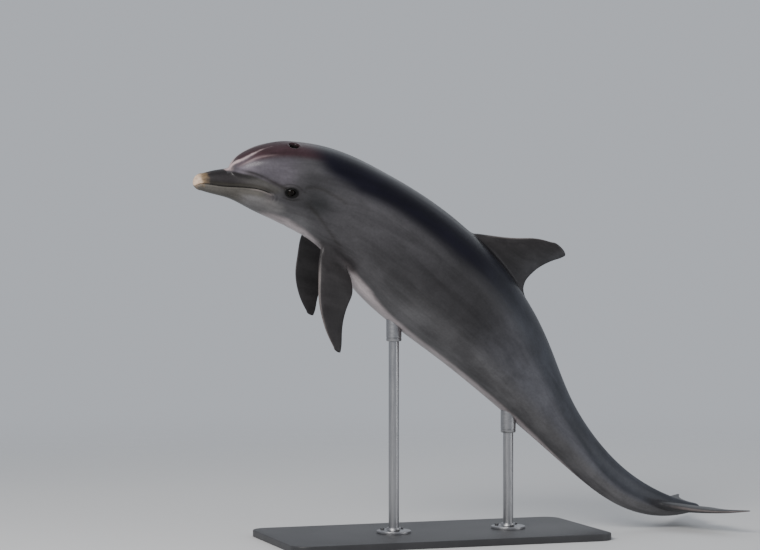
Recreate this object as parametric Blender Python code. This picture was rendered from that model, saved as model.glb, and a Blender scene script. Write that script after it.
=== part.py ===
"""A bottlenose dolphin in mid-leap, life size, on a plain display stand.

Metres, +Z up. The snout points to -X and the dolphin's left side to -Y.
The body is drawn straight, as sections along its length: x runs back from the snout tip, +y to
the dolphin's right and +z to its back. The spine's pitch and roll then carry it to the leap.
"""
import bmesh
import bpy
import numpy as np
from mathutils import Vector

# ---------------------------------------------------------------- driving dimensions
LENGTH = 2.40                     # snout tip to fluke notch, along the spine
SNOUT_AT = (-1.000, -0.009, 1.277)  # where the snout tip is
GAP = 0.0003                      # left between pieces that touch
WELD = 0.00001                    # corners nearer than this are one
FLAT = 0.0005                     # faces that meet at less than this, in radians, are one
COLUMNS = 32                      # corners round a section of the body

# Straight body. station: x, height above the axis, depth below it, half width
BODY = {
    "lips":         (0.030, 0.034, 0.0265, 0.0290),
    "beak":         (0.070, 0.047, 0.0345, 0.0385),
    "beak_root":    (0.130, 0.058, 0.0465, 0.0520),
    "gape":         (0.210, 0.075, 0.0800, 0.0760),
    "mouth_corner": (0.290, 0.110, 0.1080, 0.1030),
    "eye":          (0.374, 0.149, 0.1310, 0.1240),
    "nape":         (0.480, 0.170, 0.1520, 0.1480),
    "shoulder":     (0.620, 0.181, 0.1840, 0.1710),
    "chest":        (0.800, 0.201, 0.2220, 0.1960),
    "girth":        (1.020, 0.211, 0.2210, 0.2080),
    "fin":          (1.200, 0.197, 0.1990, 0.1900),
    "loin":         (1.420, 0.152, 0.1650, 0.1420),
    "vent":         (1.660, 0.088, 0.1190, 0.0880),
    "stock":        (1.920, 0.068, 0.0760, 0.0500),
    "stock_end":    (2.160, 0.055, 0.0540, 0.0300),
    "fluke_root":   (2.300, 0.032, 0.0320, 0.0230),
    "notch":        (2.400, 0.010, 0.0100, 0.0120),
}
SNOUT_ROUND = 0.030               # length of the round of the snout tip
NOTCH_ROUND = 0.012               # and of the body's end at the notch
ROUND_SECTION = 2.15              # a section's power, 2 being an ellipse
CROWN_POWER = 0.35                # how much flatter the top of the head is
CROWN_FROM, CROWN_TO = (0.18, 0.32), (0.46, 0.75)   # where that comes and goes
KEEL_POWER = 0.45                 # how much sharper the tail stock's edges are
KEEL_FROM = (1.45, 2.00)          # where that comes
MIDDLE_RISE = 0.010               # how far over the axis the head's columns fan out from
MIDDLE_FROM, MIDDLE_TO = (0.0, 0.06), (0.3, 0.5)

# The melon, an egg set into the forehead
MELON_X, MELON_REACH = 0.365, 0.243
MELON_Z, MELON_LOW_Z = 0.086, 0.052
MELON_CLIMB = (0.10, 0.24)        # where its middle line climbs from low to high
MELON_TOPS, MELON_TOP_CLIMB = (0.148, 0.172), (0.15, 0.33)   # its top, and where that climbs
MELON_DOWN, MELON_HALF = 0.085, 0.107
MELON_POWER, MELON_LONGER = 2.1, 0.75   # across, and the share of steepness behind its middle
FILLET_LOW, FILLET_MORE = 0.006, 0.030  # between melon and body
FILLET_FROM = (0.14, 0.36)

# The way out to the skin is walked inwards from here, and then halved
WALK_FROM, WALK_STEPS, HALVINGS = 0.30, 60, 18

# The leap. station: x, pitch of the spine below level, roll of the back to the left, degrees
SPINE = {
    "snout":     (0.00, 5, 18),
    "head":      (0.28, 5, 18),
    "nape":      (0.48, 19, 15),
    "shoulder":  (0.66, 33, 11),
    "chest":     (0.86, 40, 9),
    "girth":     (1.05, 42, 8),
    "loin":      (1.40, 49, 7),
    "vent":      (1.70, 51, 5),
    "stock":     (1.95, 43, 3),
    "stock_end": (2.16, 22, 1),
    "notch":     (2.40, -4, 0),
}
SPINE_STEP, SPINE_AHEAD, SPINE_PAST = 0.002, 0.05, 0.25

# Blades. line: share of the span, leading edge and trailing edge along the chord, in spans
FLIPPER_SPAN = 0.312
FLIPPER = ((-0.30, -0.02, 0.40), (0.00, 0.045, 0.435), (0.12, 0.070, 0.524), (0.24, 0.121, 0.614),
           (0.40, 0.205, 0.646), (0.60, 0.318, 0.682), (0.78, 0.471, 0.752), (0.92, 0.645, 0.820),
           (0.975, 0.735, 0.838))
FLIPPER_X, FLIPPER_TURN = {"left": 0.512, "right": 0.466}, 150   # leading corner of the root
FLIPPER_SPLAY = {"left": 33, "right": 33}   # degrees aside from straight down
FLIPPER_SWING = {"left": 4, "right": -1}    # degrees swung forward
FLIPPER_LIE = 0.66                # the station whose axis the root follows
DORSAL_SPAN = 0.211
DORSAL = ((-0.22, -0.30, 1.60), (0.00, -0.05, 1.42), (0.10, 0.07, 1.335), (0.25, 0.27, 1.30),
          (0.45, 0.535, 1.315), (0.63, 0.74, 1.37), (0.77, 0.89, 1.435), (0.87, 1.035, 1.49),
          (0.94, 1.165, 1.515))
DORSAL_X, DORSAL_BASE, DORSAL_SINK = 0.975, 0.340, 0.012
FLUKE_SPAN = 0.300
FLUKE = ((0.00, 0.00, 0.62), (0.15, 0.10, 0.70), (0.35, 0.245, 0.715), (0.55, 0.385, 0.720),
         (0.75, 0.54, 0.755), (0.90, 0.70, 0.815), (0.97, 0.81, 0.855))
FLUKE_X, FLUKE_RISE, FLUKE_APART = 2.20, 0.03, 0.008   # the notch is this wide
BLADE_THICK = 0.16                # greatest thickness, as a share of the chord
BLADE_EDGE = 0.0015               # half thickness that the edges keep
TIP_LEAN = 0.6                    # how far back along the chord the round of the tip closes
AIRFOIL = (0.2969, -0.1260, -0.3516, 0.2843, -0.1036)   # thickness: root, and powers 1 to 4, of the way back
BLADE_ROWS, BLADE_TIP_ROWS, BLADE_SIDES = 10, 4, 12
FLIPPER_MEETS, DORSAL_MEETS, FLUKE_MEETS = (0.30, 1.00), (0.80, 1.55), (2.00, LENGTH)

# Cuts between the pieces of the head. corners: x, z
MOUTH_LINE = ((-0.03, -0.032), (0.0, -0.013), (0.022, -0.002), (0.05, 0.003), (0.12, 0.008),
              (0.19, 0.014), (0.225, 0.014), (0.257, 0.004))
JAW_BACK = ((0.257, 0.004), (0.285, -0.20))
MELON_EDGE = ((0.085, 0.075), (0.113, 0.055), (0.185, 0.067), (0.237, 0.054), (0.296, 0.041),
              (0.308, 0.25))
BEAK_BACK = ((0.135, 0.0085), (0.135, 0.0590))
SAW_HALF = 0.2                    # how far a cut reaches to each side

# Lengths of the body behind the head, each its own piece. name: start, end, sections
HEAD_END = 0.43
LENGTHS = {
    "neck":       (HEAD_END, 0.53, 4),
    "chest":      (0.53, 0.93, 10),
    "abdomen":    (0.93, 1.40, 10),
    "loin":       (1.40, 1.64, 5),
    "tail_stock": (1.64, 1.94, 6),
    "tail_end":   (1.94, LENGTH, 9),
}

EYE_X, EYE_TURN = 0.327, 85       # turn from the back, in degrees
EYE_RADIUS, EYE_PROUD = 0.0185, 0.005
EYE_SIDES, EYE_RINGS = 14, 8
SHARP = 40                        # edges that turn more than this, in degrees, stay sharp

# The stand
BASE_SIZE = (1.20, 0.58, 0.025)
BASE_CORNER, BASE_CORNER_STEPS, BASE_RIM = 0.060, 6, 0.003
BASE_AT = (-0.115, 0.0)
ROD_RADIUS, ROD_SIDES = 0.019, 18
ROD_PAST, ROD_MEETS = 0.10, 0.30  # drawn this far past the belly's axis; the length of body that trims it
ROD_STATIONS = {"front": 0.98, "rear": 1.56}
FLANGE_RADIUS, FLANGE_THICK, FLANGE_SIDES = 0.062, 0.010, 24
CUP_RADIUS, CUP_DROP = 0.028, 0.062          # the cup's foot is this far below the belly's axis
SCREW_CIRCLE, SCREW_COUNT, SCREW_SIDES = 0.042, 3, 8
SCREW_FIRST = 0.25                # how far round the first screw is, in steps
SCREW_RADIUS, SCREW_LENGTH = 0.004, 0.020
SCREW_HEAD_RADIUS, SCREW_HEAD_HEIGHT = 0.0075, 0.006
SOCKET_RADIUS, SOCKET_DEPTH = 0.004, 0.003

# name: colour, metallic, roughness
MATERIALS = {
    "back":   ((0.030, 0.031, 0.036, 1), 0.0, 0.28),
    "flank":  ((0.110, 0.105, 0.105, 1), 0.0, 0.30),
    "beak":   ((0.150, 0.125, 0.105, 1), 0.0, 0.32),
    "jaw":    ((0.330, 0.290, 0.240, 1), 0.0, 0.32),
    "fin":    ((0.022, 0.019, 0.018, 1), 0.0, 0.30),
    "eye":    ((0.010, 0.007, 0.005, 1), 0.0, 0.08),
    "plate":  ((0.020, 0.020, 0.022, 1), 0.0, 0.45),
    "steel":  ((0.560, 0.560, 0.570, 1), 1.0, 0.28),
}


# ---------------------------------------------------------------- lines and sections
def ease(start, end, value):
    """0 up to start, 1 past end, and an even S between them."""
    share = np.clip((np.asarray(value, float) - start) / (end - start), 0, 1)
    return share * share * (3 - 2 * share)


def fair(stations, values, at):
    """The fair curve (natural cubic spline) through the stations' values, read at other places."""
    s, v = np.array(stations, float), np.array(values, float)
    h = np.diff(s)
    system, right = np.eye(len(s)), np.zeros(len(s))
    for i in range(1, len(s) - 1):
        system[i, i - 1:i + 2] = h[i - 1], 2 * (h[i - 1] + h[i]), h[i]
        right[i] = 6 * ((v[i + 1] - v[i]) / h[i] - (v[i] - v[i - 1]) / h[i - 1])
    m = np.linalg.solve(system, right)
    at = np.clip(np.asarray(at, float), s[0], s[-1])
    i = np.clip(np.searchsorted(s, at) - 1, 0, len(s) - 2)
    a, b = s[i + 1] - at, at - s[i]
    ends = (v[i] / h[i] - m[i] * h[i] / 6) * a + (v[i + 1] / h[i] - m[i + 1] * h[i] / 6) * b
    return (m[i] * a**3 + m[i + 1] * b**3) / (6 * h[i]) + ends


def body_field(x, y, z):
    """About the distance outside the long body and the jaws, negative inside them."""
    rows = np.array(list(BODY.values()))
    high, deep, half = (fair(rows[:, 0], rows[:, k], x) for k in (1, 2, 3))
    tip = np.sqrt(np.clip(1 - np.clip(1 - x / SNOUT_ROUND, 0, 1) ** 2, 1e-6, 1))
    end = np.sqrt(np.clip(1 - np.clip(1 - (LENGTH - x) / NOTCH_ROUND, 0, 1) ** 2, 1e-6, 1))
    high, deep, half = high * tip * end, deep * tip * end, half * tip * end
    keel = KEEL_POWER * ease(*KEEL_FROM, x)
    crown = CROWN_POWER * ease(*CROWN_FROM, x) * (1 - ease(*CROWN_TO, x))
    power = ROUND_SECTION - keel + np.where(z > 0, crown, 0)
    reach = np.where(z > 0, high, deep)
    share = ((np.abs(y) / half) ** power + (np.abs(z) / reach) ** power) ** (1 / power)
    return (share - 1) * np.minimum(half, reach)


def melon_field(x, y, z):
    """The same for the melon."""
    ahead = (MELON_X - x) / MELON_REACH
    ahead = np.where(ahead < 0, ahead * MELON_LONGER, ahead)
    mid = MELON_LOW_Z + (MELON_Z - MELON_LOW_Z) * ease(*MELON_CLIMB, x)
    top = MELON_TOPS[0] + (MELON_TOPS[1] - MELON_TOPS[0]) * ease(*MELON_TOP_CLIMB, x)
    reach = np.where(z > mid, top - mid, MELON_DOWN + mid - MELON_Z)
    share = np.sqrt(ahead**2 + (np.abs(y) / MELON_HALF) ** MELON_POWER + ((z - mid) / reach) ** 2)
    return (share - 1) * MELON_DOWN


def flesh_field(x, y, z):
    """Body and melon joined by a fillet that widens from the crease towards the eyes."""
    body, melon = body_field(x, y, z), melon_field(x, y, z)
    fillet = FILLET_LOW + FILLET_MORE * ease(*FILLET_FROM, x)
    blend = np.clip(0.5 + 0.5 * (melon - body) / fillet, 0, 1)
    return melon * (1 - blend) + body * blend - fillet * blend * (1 - blend)


def skin_point(x, turn, proud=0.0):
    """The skin at station x, turn radians round from the back: each way out is walked inwards."""
    x, turn = np.broadcast_arrays(np.asarray(x, float), np.asarray(turn, float))
    side, up = np.sin(turn), np.cos(turn)
    middle = MIDDLE_RISE * ease(*MIDDLE_FROM, x) * (1 - ease(*MIDDLE_TO, x))
    inner, found = np.zeros(x.shape), np.zeros(x.shape, bool)
    for step in range(WALK_STEPS):
        reach = WALK_FROM * (1 - (step + 1) / WALK_STEPS)
        hit = (flesh_field(x, reach * side, middle + reach * up) < 0) & ~found
        inner = np.where(hit, reach, inner)
        found |= hit
    outer = inner + WALK_FROM / WALK_STEPS
    for _ in range(HALVINGS):
        reach = (inner + outer) / 2
        inside = flesh_field(x, reach * side, middle + reach * up) < 0
        inner, outer = np.where(inside, reach, inner), np.where(inside, outer, reach)
    reach = (inner + outer) / 2 + proud
    return np.stack([x, reach * side, middle + reach * up], -1)


# ---------------------------------------------------------------- the leap
def spine_lines():
    """Along the spine: stations, places, and the directions back, to its right, and up."""
    stations = np.arange(-SPINE_AHEAD, LENGTH + SPINE_PAST, SPINE_STEP)
    rows = np.array(list(SPINE.values()), float)
    pitch, roll = (np.radians(fair(rows[:, 0], rows[:, k], stations)) for k in (1, 2))
    zero = 0 * pitch
    back = np.stack([np.cos(pitch), zero, -np.sin(pitch)], -1)
    level = np.stack([zero, zero + 1, zero], -1)
    upright = np.stack([np.sin(pitch), zero, np.cos(pitch)], -1)
    cos, sin = np.cos(roll)[:, None], np.sin(roll)[:, None]
    places = np.cumsum(back * SPINE_STEP, axis=0)
    places += np.array(SNOUT_AT) - places[np.searchsorted(stations, 0.0)]
    return stations, places, back, level * cos + upright * sin, upright * cos - level * sin


SPINE_LINES = spine_lines()


def spine_frame(x):
    """Place, back, right and up at the stations x."""
    stations, *lines = SPINE_LINES
    read = [np.stack([np.interp(x, stations, line[:, k]) for k in range(3)], -1) for line in lines]
    unit = [line / np.linalg.norm(line, axis=-1, keepdims=True) for line in read[1:]]
    return read[0], *unit


def bend(points):
    """Points of the straight body, carried to the leap."""
    points = np.asarray(points, float)
    place, _, right, up = spine_frame(points[..., 0])
    return place + right * points[..., 1:2] + up * points[..., 2:3]


# ---------------------------------------------------------------- making meshes
def new_collection(name):
    made = bpy.data.collections.new(name)
    bpy.context.scene.collection.children.link(made)
    return made


def new_material(name):
    colour, metallic, roughness = MATERIALS[name]
    material = bpy.data.materials.new(name)
    material.use_nodes = True
    material.diffuse_color = colour
    shader = material.node_tree.nodes["Principled BSDF"]
    shader.inputs["Base Color"].default_value = colour
    shader.inputs["Metallic"].default_value = metallic
    shader.inputs["Roughness"].default_value = roughness
    return material


def add_mesh(name, build, collection):
    """An object whose mesh build(bm) makes, with its faces turned out."""
    mesh = bpy.data.meshes.new(name)
    bm = bmesh.new()
    build(bm)
    bmesh.ops.recalc_face_normals(bm, faces=bm.faces)
    bmesh.ops.triangulate(bm, faces=bm.faces)
    bm.to_mesh(mesh)
    bm.free()
    made = bpy.data.objects.new(name, mesh)
    collection.objects.link(made)
    return made


def loft(bm, rings, first_pole=None, last_pole=None):
    """A closed skin over like rings; an end has a pole, or else a flat face."""
    rows = [[bm.verts.new(point) for point in ring] for ring in rings]
    count = len(rows[0])
    for near, far in zip(rows, rows[1:]):
        for k in range(count):
            bm.faces.new((near[k], near[(k + 1) % count], far[(k + 1) % count], far[k]))
    for row, pole in ((rows[0], first_pole), (rows[-1], last_pole)):
        if pole is None:
            bm.faces.new(row)
            continue
        point = bm.verts.new(pole)
        for k in range(count):
            bm.faces.new((row[k], row[(k + 1) % count], point))


def head_stations():
    """Sections of the head, close together at the snout tip and at the melon's crease."""
    tip = SNOUT_ROUND * np.linspace(0.18, 1, 5) ** 2
    beak = np.linspace(0.048, 0.108, 4)
    crease = np.linspace(0.117, 0.150, 5)
    crown = np.linspace(0.168, HEAD_END, 11)
    return np.concatenate([tip, beak, crease, crown])


def body_stations(start, end):
    """The sections of all the pieces from start to end, the head's first."""
    lengths = [np.linspace(*length)[1:] for length in LENGTHS.values()]
    stations = np.concatenate([head_stations(), *lengths])
    stations[-1] -= NOTCH_ROUND * 0.05
    return stations[(stations > start - GAP) & (stations < end + GAP)]


def body_rings(stations, proud=0.0):
    """Sections of the body, the last of each row of columns meeting the first."""
    turns = np.arange(COLUMNS) * 2 * np.pi / COLUMNS
    return skin_point(np.asarray(stations)[:, None], turns[None, :], proud)


def combine(target, tool, operation="DIFFERENCE"):
    """Cuts the tool's shape out of the target, or joins it on, and welds the new corners."""
    modifier = target.modifiers.new("shape", "BOOLEAN")
    modifier.object = tool
    modifier.operation = operation
    modifier.solver = "EXACT"
    depsgraph = bpy.context.evaluated_depsgraph_get()
    target.data = bpy.data.meshes.new_from_object(target.evaluated_get(depsgraph))
    target.modifiers.clear()
    bm = bmesh.new()
    bm.from_mesh(target.data)
    bmesh.ops.remove_doubles(bm, verts=bm.verts, dist=WELD)
    bmesh.ops.dissolve_degenerate(bm, edges=bm.edges, dist=WELD)
    bmesh.ops.dissolve_limit(bm, angle_limit=FLAT, verts=bm.verts, edges=bm.edges)
    bmesh.ops.triangulate(bm, faces=bm.faces)
    bm.to_mesh(target.data)
    bm.free()


def as_cutter(target):
    target.hide_render = True
    target.display_type = "WIRE"
    return target


def finish(target, material):
    target.data.materials.clear()
    target.data.materials.append(material)
    target.data.shade_smooth()
    target.data.set_sharp_from_angle(angle=np.radians(SHARP))


# ---------------------------------------------------------------- head
def saw_cut(name, line, collection):
    """A thin wall along a line in the straight body's upright plane, right across the head."""
    points = np.array(line)
    run = np.gradient(points, axis=0)
    run /= np.linalg.norm(run, axis=1, keepdims=True)
    aside = np.stack([-run[:, 1], run[:, 0]], -1) * GAP / 2
    outline = np.concatenate([points + aside, (points - aside)[::-1]])

    def build(bm):
        near = [bm.verts.new((x, -SAW_HALF, z)) for x, z in outline]
        far = [bm.verts.new((x, SAW_HALF, z)) for x, z in outline]
        bm.faces.new(near)
        bm.faces.new(far[::-1])
        for k in range(len(near)):
            after = (k + 1) % len(near)
            bm.faces.new((near[k], far[k], far[after], near[after]))

    return as_cutter(add_mesh(name, build, collection))


def loose_pieces(target):
    """The separate bodies of a mesh, each as lists of points and faces."""
    bm = bmesh.new()
    bm.from_mesh(target.data)
    left = set(bm.verts)
    pieces = []
    while left:
        group, edge = set(), [min(left, key=lambda v: v.index)]
        while edge:
            vert = edge.pop()
            if vert in group:
                continue
            group.add(vert)
            edge.extend(e.other_vert(vert) for e in vert.link_edges)
        left -= group
        verts = sorted(group, key=lambda v: v.index)
        place = {vert: k for k, vert in enumerate(verts)}
        faces = [tuple(place[v] for v in face.verts) for face in bm.faces if face.verts[0] in group]
        pieces.append((np.array([v.co for v in verts]), faces))
    bm.free()
    return pieces


def name_of_head_piece(points):
    """Which piece of the head it is, from where it reaches."""
    low, high = points.min(axis=0), points.max(axis=0)
    if high[0] > HEAD_END - 0.01:
        return "head"
    if low[2] > 0.03:
        return "melon"
    return "jaw_lower" if high[2] < 0.05 and low[2] < -0.05 else "beak_upper"


def make_head(parts, cutters):
    """The head made whole and straight, sawn into its pieces, and then bent."""
    stations = head_stations()
    stations[-1] -= GAP / 2
    rings = body_rings(stations)
    tip = skin_point(0.0, 0.0)
    whole = add_mesh("head_whole", lambda bm: loft(bm, rings, first_pole=(0, 0, tip[2])), cutters)
    walls = {"mouth": MOUTH_LINE + JAW_BACK[1:], "melon_edge": MELON_EDGE, "beak_back": BEAK_BACK}
    for name, line in walls.items():
        wall = saw_cut("saw_" + name, line, cutters)
        combine(whole, wall)
    pieces = {}
    for points, faces in loose_pieces(whole):
        def build(bm, points=points, faces=faces):
            verts = [bm.verts.new(point) for point in bend(points)]
            for face in faces:
                bm.faces.new([verts[k] for k in face])
        name = name_of_head_piece(points)
        pieces[name] = add_mesh(name, build, parts)
    as_cutter(whole)
    return pieces


def make_eyes(head_pieces, parts, cutters):
    """Eyeballs, each in a round socket of the head."""
    eyes = {}
    for name, sign in (("eye_left", -1), ("eye_right", 1)):
        surface = skin_point(EYE_X, sign * np.radians(EYE_TURN))
        centre = bend(surface - [0, sign * (EYE_RADIUS - EYE_PROUD), 0])

        def ball(radius, centre=centre):
            def build(bm):
                bmesh.ops.create_uvsphere(bm, u_segments=EYE_SIDES, v_segments=EYE_RINGS, radius=radius)
                bmesh.ops.translate(bm, verts=bm.verts, vec=Vector(centre))
            return build

        eyes[name] = add_mesh(name, ball(EYE_RADIUS), parts)
        socket = as_cutter(add_mesh(name + "_socket", ball(EYE_RADIUS + GAP), cutters))
        combine(head_pieces["head"], socket)
    return eyes


# ---------------------------------------------------------------- trunk and tail
def make_lengths(parts):
    """The lengths of the trunk and tail, end to end."""
    made = {}
    for name, (start, end, _) in LENGTHS.items():
        stations = body_stations(start, end)
        stations[0] += GAP / 2
        pole = None
        if end == LENGTH:
            pole = bend([LENGTH, 0.0, 0.0])
        else:
            stations[-1] -= GAP / 2
        rings = bend(body_rings(stations))
        made[name] = add_mesh(name, lambda bm: loft(bm, rings, last_pole=pole), parts)
    return made


def body_cutter(name, start, end, cutters):
    """A stretch of the body, a gap larger all round, that shapes what meets it."""
    rings = bend(body_rings(body_stations(start, end), proud=GAP))
    return as_cutter(add_mesh(name, lambda bm: loft(bm, rings), cutters))


# ---------------------------------------------------------------- blades
def blade_point(lines, share, turn):
    """A blade's skin in spans, along its chord, its thickness and its span; turn is round its section."""
    rows = np.array(lines)
    share = np.asarray(share, float)
    full = rows[-1, 0]
    lead, trail = (fair(rows[:, 0], rows[:, k], share) for k in (1, 2))
    over = np.clip((share - full) / (1 - full), 0, 1)
    narrow = np.sqrt(np.clip(1 - over**2, 0, 1))
    middle = lead + (trail - lead) * TIP_LEAN
    lead, trail = middle + (lead - middle) * narrow, middle + (trail - middle) * narrow
    along = (1 - np.cos(turn)) / 2
    form = AIRFOIL[0] * np.sqrt(along) + sum(part * along ** (k + 1) for k, part in enumerate(AIRFOIL[1:]))
    thick = 5 * BLADE_THICK * form * (trail - lead)
    return lead + (trail - lead) * along, thick * np.sign(np.sin(turn)), share + 0 * along, narrow


def blade_rings(lines, span, origin, chord, out, shares):
    """Sections of a blade that starts at origin, with its chord and span along chord and out."""
    out = np.array(out) / np.linalg.norm(out)
    chord = chord - out * (chord @ out)
    chord /= np.linalg.norm(chord)
    thick = np.cross(chord, out)
    turns = (np.arange(BLADE_SIDES) + 0.5) * 2 * np.pi / BLADE_SIDES
    along, across, up, narrow = blade_point(lines, np.asarray(shares)[:, None], turns[None, :])
    across = across * span + BLADE_EDGE * np.sin(turns) * narrow
    return origin + span * (along[..., None] * chord + up[..., None] * out) + across[..., None] * thick


def add_blade(name, lines, span, origin, chord, out, parts, bent=False):
    """A whole blade, from below its root to its round tip; bent if it is drawn on the straight body."""
    full, start = lines[-1][0], lines[0][0]
    turns = np.linspace(0, np.pi / 2, BLADE_TIP_ROWS + 1)[1:]
    shares = np.concatenate([np.linspace(start, full, BLADE_ROWS), full + (1 - full) * np.sin(turns)])
    rings = blade_rings(lines, span, origin, chord, out, shares)
    rings = bend(rings) if bent else rings
    return add_mesh(name, lambda bm: loft(bm, rings[:-1], last_pole=rings[-1].mean(axis=0)), parts)


def make_blades(parts, cutters):
    made = {}
    _, back, right, up = spine_frame(FLIPPER_LIE)
    for side, sign in (("left", -1), ("right", 1)):
        name = "flipper_" + side
        splay, swing = np.radians(FLIPPER_SPLAY[side]), np.radians(FLIPPER_SWING[side])
        root = bend(skin_point(FLIPPER_X[side], sign * np.radians(FLIPPER_TURN)))
        out = (sign * right * np.sin(splay) - up * np.cos(splay)) * np.cos(swing) - back * np.sin(swing)
        made[name] = add_blade(name, FLIPPER, FLIPPER_SPAN, root, back, out, parts)
        combine(made[name], body_cutter(name + "_root", *FLIPPER_MEETS, cutters))
    start, end = (bend(skin_point(x, 0.0)) for x in (DORSAL_X, DORSAL_X + DORSAL_BASE))
    up = spine_frame(DORSAL_X + DORSAL_BASE / 2)[3]
    sunk = start - DORSAL_SINK * up
    made["dorsal_fin"] = add_blade("dorsal_fin", DORSAL, DORSAL_SPAN, sunk, end - start, up, parts)
    combine(made["dorsal_fin"], body_cutter("dorsal_root", *DORSAL_MEETS, cutters))
    for name, sign in (("fluke_left", -1), ("fluke_right", 1)):
        root = np.array([FLUKE_X, sign * FLUKE_APART / 2, 0.0])
        out = np.array([0.0, sign, FLUKE_RISE])
        chord = np.array([1.0, 0.0, 0.0])
        made[name] = add_blade(name, FLUKE, FLUKE_SPAN, root, chord, out, parts, bent=True)
        combine(made[name], body_cutter(name + "_root", *FLUKE_MEETS, cutters))
    return made


# ---------------------------------------------------------------- stand
def drum(radius, bottom, top, centre, sides):
    """Builds an upright cylinder."""
    def build(bm):
        bmesh.ops.create_cone(bm, cap_ends=True, segments=sides, radius1=radius, radius2=radius,
                              depth=top - bottom)
        bmesh.ops.translate(bm, verts=bm.verts, vec=Vector((centre[0], centre[1], (top + bottom) / 2)))
    return build


def make_base(parts):
    """A flat plate with round corners and a broken rim."""
    def build(bm):
        bmesh.ops.create_cube(bm, size=1.0)
        bmesh.ops.scale(bm, verts=bm.verts, vec=Vector(BASE_SIZE))
        uprights = [e for e in bm.edges if abs(e.verts[0].co.z - e.verts[1].co.z) > BASE_SIZE[2] / 2]
        bmesh.ops.bevel(bm, geom=uprights, offset=BASE_CORNER, segments=BASE_CORNER_STEPS,
                         affect="EDGES", profile=0.5)
        rim = [e for e in bm.edges if min(v.co.z for v in e.verts) > 0 and len(e.link_faces) == 2
               and any(abs(f.normal.z) < 0.5 for f in e.link_faces)
               and any(f.normal.z > 0.5 for f in e.link_faces)]
        bmesh.ops.bevel(bm, geom=rim, offset=BASE_RIM, segments=1, affect="EDGES", profile=0.5)
        bmesh.ops.translate(bm, verts=bm.verts, vec=Vector((*BASE_AT, BASE_SIZE[2] / 2)))
    return add_mesh("stand_base", build, parts)


def make_screw(name, spot, seat, flange, base, parts, cutters):
    """A socket screw on the flange, with its shank in a hole through flange and base."""
    top, foot = seat + SCREW_HEAD_HEIGHT, seat - SCREW_LENGTH
    screw = add_mesh(name, drum(SCREW_HEAD_RADIUS, seat, top, spot, SCREW_SIDES), parts)
    shank = add_mesh(name + "_shank", drum(SCREW_RADIUS, foot, seat + 0.001, spot, SCREW_SIDES), cutters)
    socket = add_mesh(name + "_socket", drum(SOCKET_RADIUS, top - SOCKET_DEPTH, top + 0.01, spot, 6), cutters)
    hole = add_mesh(name + "_hole", drum(SCREW_RADIUS + GAP, foot - GAP, top, spot, SCREW_SIDES), cutters)
    combine(screw, as_cutter(shank), "UNION")
    combine(screw, as_cutter(socket))
    combine(flange, as_cutter(hole))
    combine(base, hole)
    return screw


def make_rod(end, station, base, parts, cutters):
    """An upright rod from the base to the body, with a flange and screws below and a cup on top."""
    seat = BASE_SIZE[2] + GAP
    place, _, _, up = spine_frame(station)
    rows = np.array(list(BODY.values()))
    belly = place - up * fair(rows[:, 0], rows[:, 2], station)
    foot = (belly[0], SNOUT_AT[1])
    flange_top, cup_low, past = seat + FLANGE_THICK, belly[2] - CUP_DROP, belly[2] + ROD_PAST
    body = body_cutter("rod_top_" + end, station - ROD_MEETS, station + ROD_MEETS, cutters)
    rod = add_mesh("stand_rod_" + end, drum(ROD_RADIUS, seat, past, foot, ROD_SIDES), parts)
    hole = drum(ROD_RADIUS + GAP, seat - BASE_RIM, past + ROD_PAST, foot, ROD_SIDES)
    bore = as_cutter(add_mesh("bore_" + end, hole, cutters))
    flange = add_mesh("stand_flange_" + end, drum(FLANGE_RADIUS, seat, flange_top, foot, FLANGE_SIDES), parts)
    cup = add_mesh("stand_cup_" + end, drum(CUP_RADIUS, cup_low, past, foot, ROD_SIDES), parts)
    combine(rod, body)
    combine(cup, body)
    combine(cup, bore)
    combine(flange, bore)
    made = {piece.name: piece for piece in (rod, flange, cup)}
    for k in range(SCREW_COUNT):
        angle = (k + SCREW_FIRST) * 2 * np.pi / SCREW_COUNT
        spot = (foot[0] + SCREW_CIRCLE * np.cos(angle), foot[1] + SCREW_CIRCLE * np.sin(angle))
        name = "stand_screw_%s_%d" % (end, k + 1)
        made[name] = make_screw(name, spot, flange_top + GAP, flange, base, parts, cutters)
    return made


def make_stand(parts, cutters):
    base = make_base(parts)
    made = {base.name: base}
    for end, station in ROD_STATIONS.items():
        made.update(make_rod(end, station, base, parts, cutters))
    return made


# ---------------------------------------------------------------- the whole
def material_of(name):
    """Which material a piece takes."""
    if name.startswith("stand_"):
        return "plate" if name == "stand_base" else "steel"
    if name.startswith(("eye", "jaw", "beak")):
        return name.split("_")[0]
    if name.startswith(("flipper", "fluke", "dorsal")):
        return "fin"
    return "back" if name.startswith("tail") else "flank"


def main():
    for old in list(bpy.data.objects):
        bpy.data.objects.remove(old, do_unlink=True)
    parts = new_collection("bottlenose_dolphin")
    cutters = new_collection("cutters")
    pieces = make_head(parts, cutters)
    pieces.update(make_eyes(pieces, parts, cutters))
    pieces.update(make_lengths(parts))
    pieces.update(make_blades(parts, cutters))
    pieces.update(make_stand(parts, cutters))
    materials = {name: new_material(name) for name in MATERIALS}
    for name, piece in pieces.items():
        finish(piece, materials[material_of(name)])


main()
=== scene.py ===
"""A life-size bottlenose dolphin in mid-leap: its skin, eyes and display stand.

The skin is one mesh. It is first laid flat, as rings along the body and columns round it, then
raised to the straight body's shape, given its folds, and carried to the leap. The fins grow out
of holes left in it.
"""

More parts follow.
